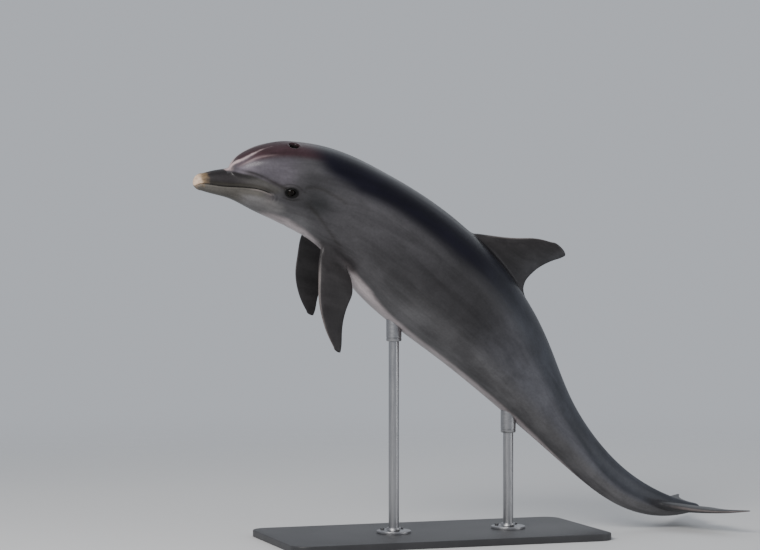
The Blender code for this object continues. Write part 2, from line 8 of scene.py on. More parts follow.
import bmesh
import bpy
import numpy as np
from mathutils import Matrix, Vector


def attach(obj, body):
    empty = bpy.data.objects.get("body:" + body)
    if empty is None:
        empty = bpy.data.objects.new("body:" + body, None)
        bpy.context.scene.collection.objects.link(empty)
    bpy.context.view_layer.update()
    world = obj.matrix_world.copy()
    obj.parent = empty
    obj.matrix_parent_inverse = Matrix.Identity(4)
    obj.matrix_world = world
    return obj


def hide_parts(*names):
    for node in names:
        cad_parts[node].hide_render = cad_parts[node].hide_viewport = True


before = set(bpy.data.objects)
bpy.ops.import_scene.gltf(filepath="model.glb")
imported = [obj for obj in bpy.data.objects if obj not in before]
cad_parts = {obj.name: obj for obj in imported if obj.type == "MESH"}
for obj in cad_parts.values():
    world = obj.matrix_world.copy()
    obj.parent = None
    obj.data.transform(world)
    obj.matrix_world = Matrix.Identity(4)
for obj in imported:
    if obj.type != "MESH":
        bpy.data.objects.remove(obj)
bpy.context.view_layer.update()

# ---------------------------------------------------------------- driving dimensions
LENGTH = 2.40                     # snout tip to fluke notch, along the spine
SNOUT_AT = (-1.000, -0.009, 1.277)

# Straight body. station: x, height above the axis, depth below it, half width
BODY = {
    "lips":         (0.030, 0.034, 0.0265, 0.0290),
    "beak":         (0.070, 0.047, 0.0345, 0.0385),
    "beak_root":    (0.130, 0.058, 0.0465, 0.0520),
    "gape":         (0.210, 0.075, 0.0800, 0.0760),
    "mouth_corner": (0.290, 0.110, 0.1080, 0.1030),
    "eye":          (0.374, 0.149, 0.1310, 0.1240),
    "nape":         (0.480, 0.170, 0.1520, 0.1480),
    "shoulder":     (0.620, 0.181, 0.1840, 0.1710),
    "chest":        (0.800, 0.201, 0.2220, 0.1960),
    "girth":        (1.020, 0.211, 0.2210, 0.2080),
    "fin":          (1.200, 0.197, 0.1990, 0.1900),
    "loin":         (1.420, 0.152, 0.1650, 0.1420),
    "vent":         (1.660, 0.088, 0.1190, 0.0880),
    "stock":        (1.920, 0.068, 0.0760, 0.0500),
    "stock_end":    (2.160, 0.055, 0.0540, 0.0300),
    "fluke_root":   (2.300, 0.032, 0.0320, 0.0230),
    "notch":        (2.400, 0.010, 0.0100, 0.0120),
}
SNOUT_ROUND = 0.030               # length of the round of the snout tip
NOTCH_ROUND = 0.012               # and of the body's end at the notch
ROUND_SECTION = 2.15              # a section's power, 2 being an ellipse
CROWN_POWER = 0.35                # how much flatter the top of the head is
CROWN_FROM, CROWN_TO = (0.18, 0.32), (0.46, 0.75)   # where that comes and goes
KEEL_POWER = 0.45                 # how much sharper the tail stock's edges are
KEEL_FROM = (1.45, 2.00)          # where that comes
MIDDLE_RISE = 0.010               # how far over the axis the head's columns fan out from
MIDDLE_FROM, MIDDLE_TO = (0.0, 0.06), (0.3, 0.5)

# The melon, an egg set into the forehead
MELON_X, MELON_REACH = 0.365, 0.243
MELON_Z, MELON_LOW_Z = 0.086, 0.052
MELON_CLIMB = (0.10, 0.24)        # where its middle line climbs from low to high
MELON_TOPS, MELON_TOP_CLIMB = (0.148, 0.172), (0.15, 0.33)   # its top, and where that climbs
MELON_DOWN, MELON_HALF = 0.085, 0.107
MELON_POWER, MELON_LONGER = 2.1, 0.75   # across, and the share of steepness behind its middle
FILLET_LOW, FILLET_MORE = 0.006, 0.030  # between melon and body
FILLET_FROM = (0.14, 0.36)

# The way out to the skin is walked inwards from here, and then halved
WALK_FROM, WALK_STEPS, HALVINGS = 0.30, 60, 22

# The leap. station: x, pitch of the spine below level, roll of the back to the left, degrees
SPINE = {
    "snout":     (0.00, 5, 18),
    "head":      (0.28, 5, 18),
    "nape":      (0.48, 19, 15),
    "shoulder":  (0.66, 33, 11),
    "chest":     (0.86, 40, 9),
    "girth":     (1.05, 42, 8),
    "loin":      (1.40, 49, 7),
    "vent":      (1.70, 51, 5),
    "stock":     (1.95, 43, 3),
    "stock_end": (2.16, 22, 1),
    "notch":     (2.40, -4, 0),
}
SPINE_STEP, SPINE_AHEAD, SPINE_PAST = 0.002, 0.05, 0.25

# Blades. Each row: share of the span, and leading and trailing edge along the chord, in spans
FLIPPER_SPAN = 0.312
FLIPPER = ((-0.30, -0.02, 0.40), (0.00, 0.045, 0.435), (0.12, 0.070, 0.524), (0.24, 0.121, 0.614),
           (0.40, 0.205, 0.646), (0.60, 0.318, 0.682), (0.78, 0.471, 0.752), (0.92, 0.645, 0.820),
           (0.975, 0.735, 0.838))
FLIPPER_X, FLIPPER_TURN = {"left": 0.512, "right": 0.466}, 150   # leading corner of the root
FLIPPER_SPLAY = {"left": 33, "right": 33}   # degrees aside from straight down
FLIPPER_SWING = {"left": 4, "right": -1}    # degrees swung forward
FLIPPER_LIE = 0.66                # the station whose axis the root follows
DORSAL_SPAN = 0.211
DORSAL = ((-0.22, -0.30, 1.60), (0.00, -0.05, 1.42), (0.10, 0.07, 1.335), (0.25, 0.27, 1.30),
          (0.45, 0.535, 1.315), (0.63, 0.74, 1.37), (0.77, 0.89, 1.435), (0.87, 1.035, 1.49),
          (0.94, 1.165, 1.515))
DORSAL_X, DORSAL_BASE, DORSAL_SINK = 0.975, 0.340, 0.012
FLUKE_SPAN = 0.300
FLUKE = ((0.00, 0.00, 0.62), (0.15, 0.10, 0.70), (0.35, 0.245, 0.715), (0.55, 0.385, 0.720),
         (0.75, 0.54, 0.755), (0.90, 0.70, 0.815), (0.97, 0.81, 0.855))
FLUKE_X, FLUKE_RISE, FLUKE_APART = 2.20, 0.03, 0.008   # the notch is this wide
BLADE_THICK = 0.16                # greatest thickness, as a share of the chord
BLADE_EDGE = 0.0015               # half thickness that the edges keep
TIP_LEAN = 0.6                    # how far back along the chord the round of the tip closes
EDGE_STEP = 0.005                 # the last share of the span, which the round of the tip runs on from
AIRFOIL = (0.2969, -0.1260, -0.3516, 0.2843, -0.1036)   # thickness: root and powers 1 to 4 of the way back

# The face
MOUTH_LINE = ((-0.03, -0.034), (0.0, -0.014), (0.014, -0.001), (0.032, 0.005), (0.060, 0.006),
              (0.10, 0.006), (0.15, 0.010), (0.19, 0.0125), (0.22, 0.0125), (0.257, 0.005))
MOUTH_START, MOUTH_END = (0.002, 0.010), (0.244, 0.260)   # where the mouth's groove comes and goes
CREASE = ((0.110, 0.000, 0.055), (0.137, 0.030, 0.066), (0.185, 0.073, 0.067), (0.237, 0.087, 0.052),
          (0.304, 0.108, 0.030))  # between beak and melon, from the middle to the eye: x, |y|, z
EYE_X, EYE_TURN = 0.327, 85       # turn from the back, in degrees
EYE_RADIUS, EYE_PROUD = 0.0185, 0.005
EYE_LONG, EYE_TALL = 0.0150, 0.0114     # half sizes of the lids' opening
BLOWHOLE_X, BLOWHOLE_ASIDE = 0.325, 0.028   # a little left of the middle
CROWN_HIGH = 0.165                # the skin's height over the axis there
BLOWHOLE_LONG, BLOWHOLE_WIDE = 0.0165, 0.0200   # half sizes
PLUG_AHEAD, PLUG_LONG, PLUG_WIDE = 0.0205, 0.0100, 0.0120   # the plug at its front: where, half sizes
EAR_X, EAR_TURN = 0.402, 91

# The skin's mesh
COLUMNS = 144
RING_STEPS = ((0.03, 0.0030), (0.30, 0.0030), (0.36, 0.0036), (0.50, 0.0052), (0.66, 0.0120),
              (2.05, 0.0130), (2.18, 0.0100), (2.40, 0.0095))
TIP_RINGS = 12                    # rings on the round of the snout
LAST_RING = 0.04                  # how far the last is from the notch, as a share of the round there
MOUTH_PULL = 0.55                 # how far round, in radians, the columns follow the mouth's line
MOUTH_STEEPEST = 0.6              # and how steeply at most
MOUTH_BEHIND = 0.12               # how far behind the eye they run level again
FOOT_SHAPE = 2.6                  # how full a fin's foot is at its thickest


# ---------------------------------------------------------------- lines and sections
def ease(start, end, value):
    """0 up to start, 1 past end, and an even S between them."""
    share = np.clip((np.asarray(value, float) - start) / (end - start), 0, 1)
    return share * share * (3 - 2 * share)


def hump(middle, half, value):
    """1 at the middle, falling to nearly 0 at twice the half width to each side."""
    return np.exp(-((np.asarray(value, float) - middle) / half) ** 2)


def mix(first, second, share):
    return first * (1 - share) + second * share


def unit(vectors):
    return vectors / np.linalg.norm(vectors, axis=-1, keepdims=True)


def between(start, full, fading, gone, value):
    """0 up to start, 1 from full to fading, and 0 again past gone."""
    return ease(start, full, value) * (1 - ease(fading, gone, value))


def fair(stations, values, at):
    """The fair curve (natural cubic spline) through the stations' values, read at other places."""
    s, v = np.array(stations, float), np.array(values, float)
    h = np.diff(s)
    system, right = np.eye(len(s)), np.zeros(len(s))
    for i in range(1, len(s) - 1):
        system[i, i - 1:i + 2] = h[i - 1], 2 * (h[i - 1] + h[i]), h[i]
        right[i] = 6 * ((v[i + 1] - v[i]) / h[i] - (v[i] - v[i - 1]) / h[i - 1])
    m = np.linalg.solve(system, right)
    at = np.clip(np.asarray(at, float), s[0], s[-1])
    i = np.clip(np.searchsorted(s, at) - 1, 0, len(s) - 2)
    a, b = s[i + 1] - at, at - s[i]
    ends = (v[i] / h[i] - m[i] * h[i] / 6) * a + (v[i + 1] / h[i] - m[i + 1] * h[i] / 6) * b
    return (m[i] * a**3 + m[i + 1] * b**3) / (6 * h[i]) + ends


def body_field(x, y, z):
    """About the distance outside the long body and the jaws, negative inside them."""
    rows = np.array(list(BODY.values()))
    high, deep, half = (fair(rows[:, 0], rows[:, k], x) for k in (1, 2, 3))
    tip = np.sqrt(np.clip(1 - np.clip(1 - x / SNOUT_ROUND, 0, 1) ** 2, 1e-6, 1))
    end = np.sqrt(np.clip(1 - np.clip(1 - (LENGTH - x) / NOTCH_ROUND, 0, 1) ** 2, 1e-6, 1))
    high, deep, half = high * tip * end, deep * tip * end, half * tip * end
    keel = KEEL_POWER * ease(*KEEL_FROM, x)
    crown = CROWN_POWER * between(*CROWN_FROM, *CROWN_TO, x)
    power = ROUND_SECTION - keel + np.where(z > 0, crown, 0)
    reach = np.where(z > 0, high, deep)
    share = ((np.abs(y) / half) ** power + (np.abs(z) / reach) ** power) ** (1 / power)
    return (share - 1) * np.minimum(half, reach)


def melon_field(x, y, z):
    """The same for the melon."""
    ahead = (MELON_X - x) / MELON_REACH
    ahead = np.where(ahead < 0, ahead * MELON_LONGER, ahead)
    mid = mix(MELON_LOW_Z, MELON_Z, ease(*MELON_CLIMB, x))
    top = mix(*MELON_TOPS, ease(*MELON_TOP_CLIMB, x))
    reach = np.where(z > mid, top - mid, MELON_DOWN + mid - MELON_Z)
    share = np.sqrt(ahead**2 + (np.abs(y) / MELON_HALF) ** MELON_POWER + ((z - mid) / reach) ** 2)
    return (share - 1) * MELON_DOWN


def flesh_field(x, y, z):
    """Body and melon joined by a fillet that widens from the crease towards the eyes."""
    body, melon = body_field(x, y, z), melon_field(x, y, z)
    fillet = FILLET_LOW + FILLET_MORE * ease(*FILLET_FROM, x)
    blend = np.clip(0.5 + 0.5 * (melon - body) / fillet, 0, 1)
    return mix(melon, body, blend) - fillet * blend * (1 - blend)


def head_middle(x):
    """The height that the columns fan out from."""
    return MIDDLE_RISE * between(*MIDDLE_FROM, *MIDDLE_TO, x)


def skin_point(x, turn):
    """The skin at station x, turn radians round from the back: each way out is walked inwards."""
    x, turn = np.broadcast_arrays(np.asarray(x, float), np.asarray(turn, float))
    side, up = np.sin(turn), np.cos(turn)
    middle = head_middle(x)
    inner, found = np.zeros(x.shape), np.zeros(x.shape, bool)
    for step in range(WALK_STEPS):
        reach = WALK_FROM * (1 - (step + 1) / WALK_STEPS)
        hit = (flesh_field(x, reach * side, middle + reach * up) < 0) & ~found
        inner = np.where(hit, reach, inner)
        found |= hit
    outer = inner + WALK_FROM / WALK_STEPS
    for _ in range(HALVINGS):
        reach = (inner + outer) / 2
        inside = flesh_field(x, reach * side, middle + reach * up) < 0
        inner, outer = np.where(inside, reach, inner), np.where(inside, outer, reach)
    reach = (inner + outer) / 2
    return np.stack([x, reach * side, middle + reach * up], -1)


# ---------------------------------------------------------------- the leap
def spine_lines():
    """Along the spine: stations, places, and the directions back, to its right, and up."""
    stations = np.arange(-SPINE_AHEAD, LENGTH + SPINE_PAST, SPINE_STEP)
    rows = np.array(list(SPINE.values()), float)
    pitch, roll = (np.radians(fair(rows[:, 0], rows[:, k], stations)) for k in (1, 2))
    zero = 0 * pitch
    back = np.stack([np.cos(pitch), zero, -np.sin(pitch)], -1)
    level = np.stack([zero, zero + 1, zero], -1)
    upright = np.stack([np.sin(pitch), zero, np.cos(pitch)], -1)
    cos, sin = np.cos(roll)[:, None], np.sin(roll)[:, None]
    places = np.cumsum(back * SPINE_STEP, axis=0)
    places += np.array(SNOUT_AT) - places[np.searchsorted(stations, 0.0)]
    return stations, places, back, level * cos + upright * sin, upright * cos - level * sin


SPINE_LINES = spine_lines()


def spine_frame(x):
    """Place, back, right and up at the stations x."""
    stations, *lines = SPINE_LINES
    place, *ways = (np.stack([np.interp(x, stations, line[:, k]) for k in range(3)], -1) for line in lines)
    return place, *(unit(way) for way in ways)


def bend(points):
    """Points of the straight body, carried to the leap."""
    points = np.asarray(points, float)
    place, _, right, up = spine_frame(points[..., 0])
    return place + right * points[..., 1:2] + up * points[..., 2:3]


# ---------------------------------------------------------------- blades
def blade_point(lines, share, turn):
    """A blade's skin along its chord and across it, in spans, and how narrow the round of its tip is."""
    rows = np.array(lines)
    full = rows[-1, 0]
    lead, trail = (fair(rows[:, 0], rows[:, k], share) for k in (1, 2))
    over = np.clip((share - full) / (1 - full), 0, 1)
    narrow = np.sqrt(np.clip(1 - over**2, 0, 1))
    middle = mix(lead, trail, TIP_LEAN)
    carry = over * (1 - over) ** 2 * (1 - full) / EDGE_STEP
    ends = [fair(rows[:, 0], rows[:, k], np.array([full - EDGE_STEP, full])) for k in (1, 2)]
    lead, trail = (middle + (line - middle) * narrow + carry * (end[1] - end[0])
                   for line, end in zip((lead, trail), ends))
    along = (1 - np.cos(turn)) / 2
    form = AIRFOIL[0] * np.sqrt(along) + sum(part * along ** (k + 1) for k, part in enumerate(AIRFOIL[1:]))
    thick = 5 * BLADE_THICK * form * (trail - lead)
    return lead + (trail - lead) * along, thick * np.sign(np.sin(turn)), narrow


class Fin:
    """A blade that grows out of a block of the skin's rings and columns."""

    def __init__(self, lines, span, root, chord, out, hole, bent=False):
        self.lines, self.span, self.hole, self.bent = lines, span, hole, bent
        self.root, chord = np.array(root, float), np.array(chord, float)
        self.out = unit(np.array(out, float))
        self.chord = unit(chord - self.out * (chord @ self.out))
        self.thick = np.cross(self.chord, self.out)

    def skin(self, share, turn):
        """Where the blade's skin is, in the leap."""
        share, turn = np.broadcast_arrays(np.asarray(share, float), np.asarray(turn, float))
        along, across, narrow = blade_point(self.lines, share, turn)
        across = across * self.span + BLADE_EDGE * np.sin(turn) * narrow
        flat = along[..., None] * self.chord + share[..., None] * self.out
        points = self.root + self.span * flat + across[..., None] * self.thick
        return bend(points) if self.bent else points


# A hole in the skin: ends along the body, middle column in degrees, half columns, and the half
# widths of the fin's foot in degrees, at its thickest and at its ends
DORSAL_HOLE = (0.962, 1.296, 0, 4, 8.6, 2.6)
FLIPPER_HOLE = (-0.008, 0.146, 150, 4, 7.4, 3.4)   # ends from the leading corner
FLUKE_HOLE = (2.188, 2.389, 90, 9, 30.0, 15.0)
FOOT_FADE, FOOT_SPREAD = 0.09, 24   # how far ahead and behind, and aside, the columns make room
FOOT_RINGS = 6                    # rings between the skin and the free blade
BLADE_RINGS, BLADE_TIP_RINGS = 40, 7
FOOT_SHARE = 0.13                 # where the free blade starts, as a share of the span
SOFTEN_TURNS, SOFTEN_STEPS = 12, 5   # rounds of softening at a fin's foot, and places round it that join in
ROOT_STEPS = 4                    # how many places round a fin's root get painted shade


def make_fins():
    """The dorsal fin, the flippers and the flukes."""
    fins = []
    start, end = (bend(skin_point(x, 0.0)) for x in (DORSAL_X, DORSAL_X + DORSAL_BASE))
    up = spine_frame(DORSAL_X + DORSAL_BASE / 2)[3]
    fins.append(Fin(DORSAL, DORSAL_SPAN, start - DORSAL_SINK * up, end - start, up, DORSAL_HOLE))
    _, back, right, up = spine_frame(FLIPPER_LIE)
    for side, sign in (("left", -1), ("right", 1)):
        splay, swing = np.radians(FLIPPER_SPLAY[side]), np.radians(FLIPPER_SWING[side])
        root = bend(skin_point(FLIPPER_X[side], sign * np.radians(FLIPPER_TURN)))
        out = (sign * right * np.sin(splay) - up * np.cos(splay)) * np.cos(swing) - back * np.sin(swing)
        start, end = (FLIPPER_X[side] + along for along in FLIPPER_HOLE[:2])
        hole = (start, end, sign * FLIPPER_HOLE[2], *FLIPPER_HOLE[3:])
        fins.append(Fin(FLIPPER, FLIPPER_SPAN, root, back, out, hole))
    for sign in (-1, 1):
        root = (FLUKE_X, sign * FLUKE_APART / 2, 0.0)
        hole = (*FLUKE_HOLE[:2], sign * FLUKE_HOLE[2], *FLUKE_HOLE[3:])
        out = (0, sign, FLUKE_RISE)
        fins.append(Fin(FLUKE, FLUKE_SPAN, root, (1, 0, 0), out, hole, bent=True))
    return fins


# ---------------------------------------------------------------- the skin laid flat
def ring_stations():
    """Where the rings are: close together on the face, wide apart on the trunk."""
    fine = np.linspace(SNOUT_ROUND, LENGTH - NOTCH_ROUND * LAST_RING, 4001)
    steps = np.diff(fine) / np.interp(fine[1:], *zip(*RING_STEPS))
    count = np.concatenate([[0], np.cumsum(steps)])
    whole = int(count[-1])
    tip = SNOUT_ROUND * (np.arange(1, TIP_RINGS) / TIP_RINGS) ** 2
    return np.concatenate([tip, np.interp(np.arange(whole + 1) * count[-1] / whole, count, fine)])


def mouth_height(x):
    return fair(*zip(*MOUTH_LINE), x)


def mouth_turn_table():
    """For stations along the mouth: how far from straight aside its line runs."""
    xs = np.linspace(0.001, MOUTH_LINE[-1][0], 60)
    turn = np.full(xs.shape, np.pi / 2)
    for _ in range(4):
        point = skin_point(xs, turn)
        middle = head_middle(xs)
        reach = np.hypot(point[:, 1], point[:, 2] - middle)
        turn = np.arccos(np.clip((mouth_height(xs) - middle) / reach, -MOUTH_STEEPEST, MOUTH_STEEPEST))
    back = [EYE_X, EYE_X + MOUTH_BEHIND, LENGTH]
    shift = [np.radians(EYE_TURN) - np.pi / 2, 0.0, 0.0]
    return np.concatenate([xs, back]), np.concatenate([turn - np.pi / 2, shift])


MOUTH_TURNS = mouth_turn_table()


def true_turn(x, column, fins):
    """The turn round the body of a column, in radians: columns follow the mouth and the fins' feet."""
    aside = np.abs(column)
    shift = np.interp(x, *MOUTH_TURNS) * hump(np.pi / 2, MOUTH_PULL, aside)
    turn = np.sign(column) * (aside + shift)
    for fin in fins:
        start, end, middle, columns, widest, ends = fin.hole
        half = columns * 2 * np.pi / COLUMNS
        near = between(start - FOOT_FADE, start, end, end + FOOT_FADE, x)
        share = np.clip((x - start) / (end - start), 0, 1)
        full = np.clip(FOOT_SHAPE * np.sqrt(share) * (1 - share), 0, 1)
        foot = np.radians(mix(ends, widest, full))
        foot = mix(half, foot, near)
        off = turn - np.radians(middle)
        far = half + np.radians(FOOT_SPREAD)
        outside = foot + (np.abs(off) - half) * (far - foot) / (far - half)
        moved = np.where(np.abs(off) < half, off * foot / half, np.sign(off) * outside)
        turn = np.where(np.abs(off) < far, np.radians(middle) + moved, turn)
    return turn


LOOP_STRIDE = 1000                # a corner's mark is its hole times this, plus its place round it


def wall(bm, low, high, wanted=lambda k: True):
    """Faces between two rings."""
    for k in range(len(low)):
        after = (k + 1) % len(low)
        if wanted(k):
            bm.faces.new((low[k], low[after], high[after], high[k]))


def fan(bm, ring, place):
    """Faces from a ring to a new corner at the place."""
    pole = bm.verts.new(place)
    for k in range(len(ring)):
        bm.faces.new((ring[k], ring[(k + 1) % len(ring)], pole))


def lay_sheet(bm, fins):
    """The skin laid flat, with a hole for each fin, whose corners are marked in order."""
    mark = bm.verts.layers.int.new("hole")
    xs = ring_stations()
    columns = -np.pi + 2 * np.pi * np.arange(COLUMNS) / COLUMNS
    rows = [[bm.verts.new((x, column, 0)) for column in columns] for x in xs]
    blocks = []
    for fin in fins:
        start, end, middle, half = fin.hole[:4]
        first, last = np.searchsorted(xs, start), np.searchsorted(xs, end)
        centre = COLUMNS // 2 + round(middle * COLUMNS / 360)
        left, right = centre - half, centre + half
        blocks.append((first, last, left, right))
        front = [rows[first][c] for c in range(left, right)]
        starboard = [rows[r][right] for r in range(first, last)]
        rear = [rows[last][c] for c in range(right, left, -1)]
        port = [rows[r][left] for r in range(last, first, -1)]
        for k, vert in enumerate(front + starboard + rear + port):
            vert[mark] = len(blocks) * LOOP_STRIDE + k
    for r in range(len(xs) - 1):
        holes = [(left, right) for first, last, left, right in blocks if first <= r < last]
        wall(bm, rows[r], rows[r + 1], lambda c: not any(left <= c < right for left, right in holes))
    fan(bm, rows[0][::-1], (0, 0, 0))
    fan(bm, rows[-1], (LENGTH, 0, 0))


def hole_loops(bm, count):
    """The marked corners round each hole, in order."""
    mark = bm.verts.layers.int["hole"]
    marked = sorted((vert[mark], vert.index) for vert in bm.verts if vert[mark])
    bm.verts.ensure_lookup_table()
    return [[bm.verts[k] for place, k in marked if place // LOOP_STRIDE == hole + 1] for hole in range(count)]


def line_distance(points, line):
    """How far points are from a line, and how far along it, 0 to 1, the nearest place is."""
    line = np.asarray(line, float)
    runs = np.diff(line, axis=0)
    lengths = np.linalg.norm(runs, axis=1)
    starts = np.concatenate([[0], np.cumsum(lengths)])
    best, where = np.full(len(points), np.inf), np.zeros(len(points))
    for k, run in enumerate(runs):
        share = np.clip((points - line[k]) @ run / lengths[k] ** 2, 0, 1)
        distance = np.linalg.norm(points - line[k] - share[:, None] * run, axis=1)
        closer = distance < best
        best = np.where(closer, distance, best)
        where = np.where(closer, (starts[k] + share * lengths[k]) / starts[-1], where)
    return best, where


def fair_line(corners, count=24):
    """A smooth line through corners of two or three coordinates."""
    corners = np.array(corners, float)
    at = np.linspace(0, len(corners) - 1, count)
    return np.stack([fair(np.arange(len(corners)), corners[:, k], at) for k in range(corners.shape[1])], -1)


def skin_line(*corners):
    """A smooth line on the skin's right side, through corners of station and turn in degrees."""
    flat = fair_line(corners)
    return skin_point(flat[:, 0], np.radians(flat[:, 1]))


CREASE_LINE = fair_line(CREASE)
EYE_SPOT = skin_point(EYE_X, np.radians(EYE_TURN))
BLOWHOLE_SPOT = skin_point(BLOWHOLE_X, -BLOWHOLE_ASIDE / CROWN_HIGH)
EAR_SPOT = skin_point(EAR_X, np.radians(EAR_TURN))
EYE_FOLDS = (
    skin_line((0.285, 76), (0.312, 72), (0.345, 73), (0.372, 80), (0.40, 82)),
    skin_line((0.292, 96), (0.325, 99), (0.355, 95), (0.385, 88)),
)
MOUTH_FOLDS = (
    skin_line((0.243, 92), (0.262, 96), (0.270, 103), (0.266, 112)),
    skin_line((0.255, 90), (0.274, 94), (0.283, 102), (0.281, 111)),
)
NECK_FOLDS = (
    skin_line((0.375, 93), (0.398, 98), (0.440, 107), (0.492, 118), (0.554, 129), (0.626, 138)),
    skin_line((0.360, 76), (0.384, 71), (0.413, 69), (0.462, 72), (0.504, 76), (0.545, 79)),
)
THROAT_FOLDS = (
    skin_line((0.330, 150), (0.350, 165), (0.352, 180)),
    skin_line((0.420, 140), (0.436, 160), (0.440, 180)),
)
STRIPE = skin_line((0.116, 3), (0.126, 6), (0.143, 14), (0.165, 17), (0.195, 14), (0.222, 10), (0.255, 8),
                   (0.300, 8))
LOW_STRIPE = skin_line((0.135, 26), (0.150, 30), (0.177, 29), (0.212, 27), (0.254, 28), (0.290, 30))
FACE_FINE, FINE_MOUTH = 0.45, (0.004, 0.27)   # how far back the face's mesh is refined, and the mouth's


def refine(bm, reaches):
    """Halves the faces whose middles, on the skin, are near the face's features."""
    faces = [f for f in bm.faces if max(v.co.x for v in f.verts) < FACE_FINE
             and max(v.co.y for v in f.verts) - min(v.co.y for v in f.verts) < 1]
    flat = np.array([f.calc_center_median()[:2] for f in faces])
    picked = near_features(skin_point(flat[:, 0], true_turn(flat[:, 0], flat[:, 1], [])), *reaches)
    edges = {e for face, pick in zip(faces, picked) if pick for e in face.edges}
    bmesh.ops.subdivide_edges(bm, edges=list(edges), cuts=1, use_grid_fill=True)


def folded(points):
    """The right side's mirror image: y without its sign."""
    return points * [1, 0, 1] + np.abs(points) * [0, 1, 0]


def near_features(points, mouth, crease, eye, blowhole, folds):
    """Which places are within these reaches of the face's features."""
    x, z = points[:, 0], points[:, 2]
    side = folded(points)
    near = (np.abs(z - mouth_height(x)) < mouth) & (x < FINE_MOUTH[1]) & (x > FINE_MOUTH[0])
    near |= np.linalg.norm(side - EYE_SPOT, axis=1) < eye
    near |= np.linalg.norm(points - BLOWHOLE_SPOT, axis=1) < blowhole
    for line, reach in ((CREASE_LINE, crease), *((line, folds) for line in (*MOUTH_FOLDS, STRIPE))):
        near |= line_distance(side, line)[0] < reach
    return near


# ---------------------------------------------------------------- the skin's folds
# Ways out from the eye's middle are in half sizes of the lids' opening
LID_INSIDE, LID_OUTSIDE = (0.90, 1.0), (1.06, 1.75)   # where the ball ends at the lid, and that at the skin
LID_PROUD, LID_HEAVY = 0.0016, 0.0006    # how far the lids stand over the eye, and the upper one more
LID_SWELL, LID_SWELL_ENDS = 0.0016, (1.3, 2.6)
LID_GROOVE, LID_GROOVE_AT, LID_GROOVE_HALF = 0.0013, 1.78, 0.16
LIDS_REACH = 3.2
BALL_DOWN, SOCKET_DOWN = 0.0015, 0.0045   # how far the ball falls away outwards, and the skin behind it
BLOW_DEEP, BLOW_EDGE, PLUG_EDGE = 0.016, (0.86, 1.04), (0.70, 1.00)
BLOW_RIM, PLUG_RIM, BLOW_REACH = 0.0012, 0.0006, 3
SLIT_DEEP, SLIT_HALF = (0.0020, 0.0036), 0.0013   # the mouth's groove: at the tip and further back
SLIT_DEEPENS, SLIT_SHADE_DARKENS = (0.02, 0.16), (0.018, 0.050)   # the stations between which it deepens, and its painted shade darkens
SLIT_SHADE_FAINT, SLIT_SHALLOW = 0.25, 0.65    # how dark its painted shade is ahead of those
LIPS_START = (0.0, 0.03)
LIP_UPPER, LIP_LOWER = (0.0014, 0.0048, 0.0034), (0.0008, -0.0052, 0.0042)   # rise, height, half height
LIP_HIGHLIGHT, LIP_HIGHLIGHT_ALONG = (-0.0042, 0.0026), (0.17, 0.215, 0.262, 0.272)   # the painted highlight on the lower lip's bulge, under the mouth
CREASE_DEEP, CREASE_HALF = 0.0032, 0.0044
CREASE_BANK, CREASE_BANK_AT = 0.0008, (0.010, 0.004)   # the swelling beside it: rise, and how far off
CREASE_FAINT = 0.25               # how much of it there is in the middle of the head
CREASE_FROM, CREASE_DARK_FROM = (0.08, 0.38), (0.10, 0.40)   # where it deepens and darkens, along it
CREASE_LEFT, CREASE_TO = 0.35, (0.35, 1.0)   # what is left of its depth at the eye, and where that goes
CREASE_WIDTHS = (0.0055, 0.0080)  # half widths of its dark, in the middle and at the eye
EAR_DEEP, EAR_HALF = 0.0016, 0.0028
BELLY_LINE_HALF, VENT_DEEP, NAVEL_DEEP = 0.0045, 0.0045, 0.0030
VENT, MILK_SLIT, NAVEL = (1.56, 1.59, 1.66, 1.69), (1.705, 1.712, 1.728, 1.735), (1.16, 0.012, 0.009)
FOLD_TABLE = (                    # lines, depth, half width, how dark the painted shade in them is, and where along them they come and go
    (EYE_FOLDS, 0.0013, 0.0028, 0.8, (0, 0.15, 0.75, 1.0)),
    (MOUTH_FOLDS, 0.0013, 0.0026, 0.3, (0, 0.15, 0.75, 1.0)),
    (NECK_FOLDS, 0.0026, 0.0060, 1.0, (0, 0.15, 0.75, 1.0)),
    (THROAT_FOLDS, 0.0009, 0.0090, 0.4, (0, 0.4, 2.0, 3.0)),
)
FOLD_BANK = 0.35                  # the swelling beside a fold, as a share of its depth


def eye_frame():
    """Forward and up along the skin at the right eye."""
    turn, step = np.radians(EYE_TURN), np.radians(4)
    ahead = unit(skin_point(EYE_X - 0.01, turn) - skin_point(EYE_X + 0.01, turn))
    over = skin_point(EYE_X, turn - step) - skin_point(EYE_X, turn + step)
    return ahead, unit(over - ahead * (over @ ahead))


def eye_lids(side):
    """How far the lids move the skin, and how far out from the eye's middle each place is."""
    ahead, over = eye_frame()
    off = side - EYE_SPOT
    u, v = off @ ahead, off @ over
    r = np.hypot(u / EYE_LONG, v / EYE_TALL)
    ball = np.sqrt(np.clip(EYE_RADIUS**2 - u**2 - v**2, 0, None)) - (EYE_RADIUS - EYE_PROUD)
    ball = np.maximum(ball, -BALL_DOWN)
    rim = ball + LID_PROUD + LID_HEAVY * np.clip(v / EYE_TALL, -1, 1)
    swell = LID_SWELL * (1 - ease(*LID_SWELL_ENDS, r)) - LID_GROOVE * hump(LID_GROOVE_AT, LID_GROOVE_HALF, r)
    lid = mix(rim, swell, ease(*LID_OUTSIDE, r))
    rise = mix(ball - SOCKET_DOWN, lid, ease(*LID_INSIDE, r))
    near = r < LIDS_REACH
    return np.where(near, rise, 0), np.where(near, r, 3 * LIDS_REACH)


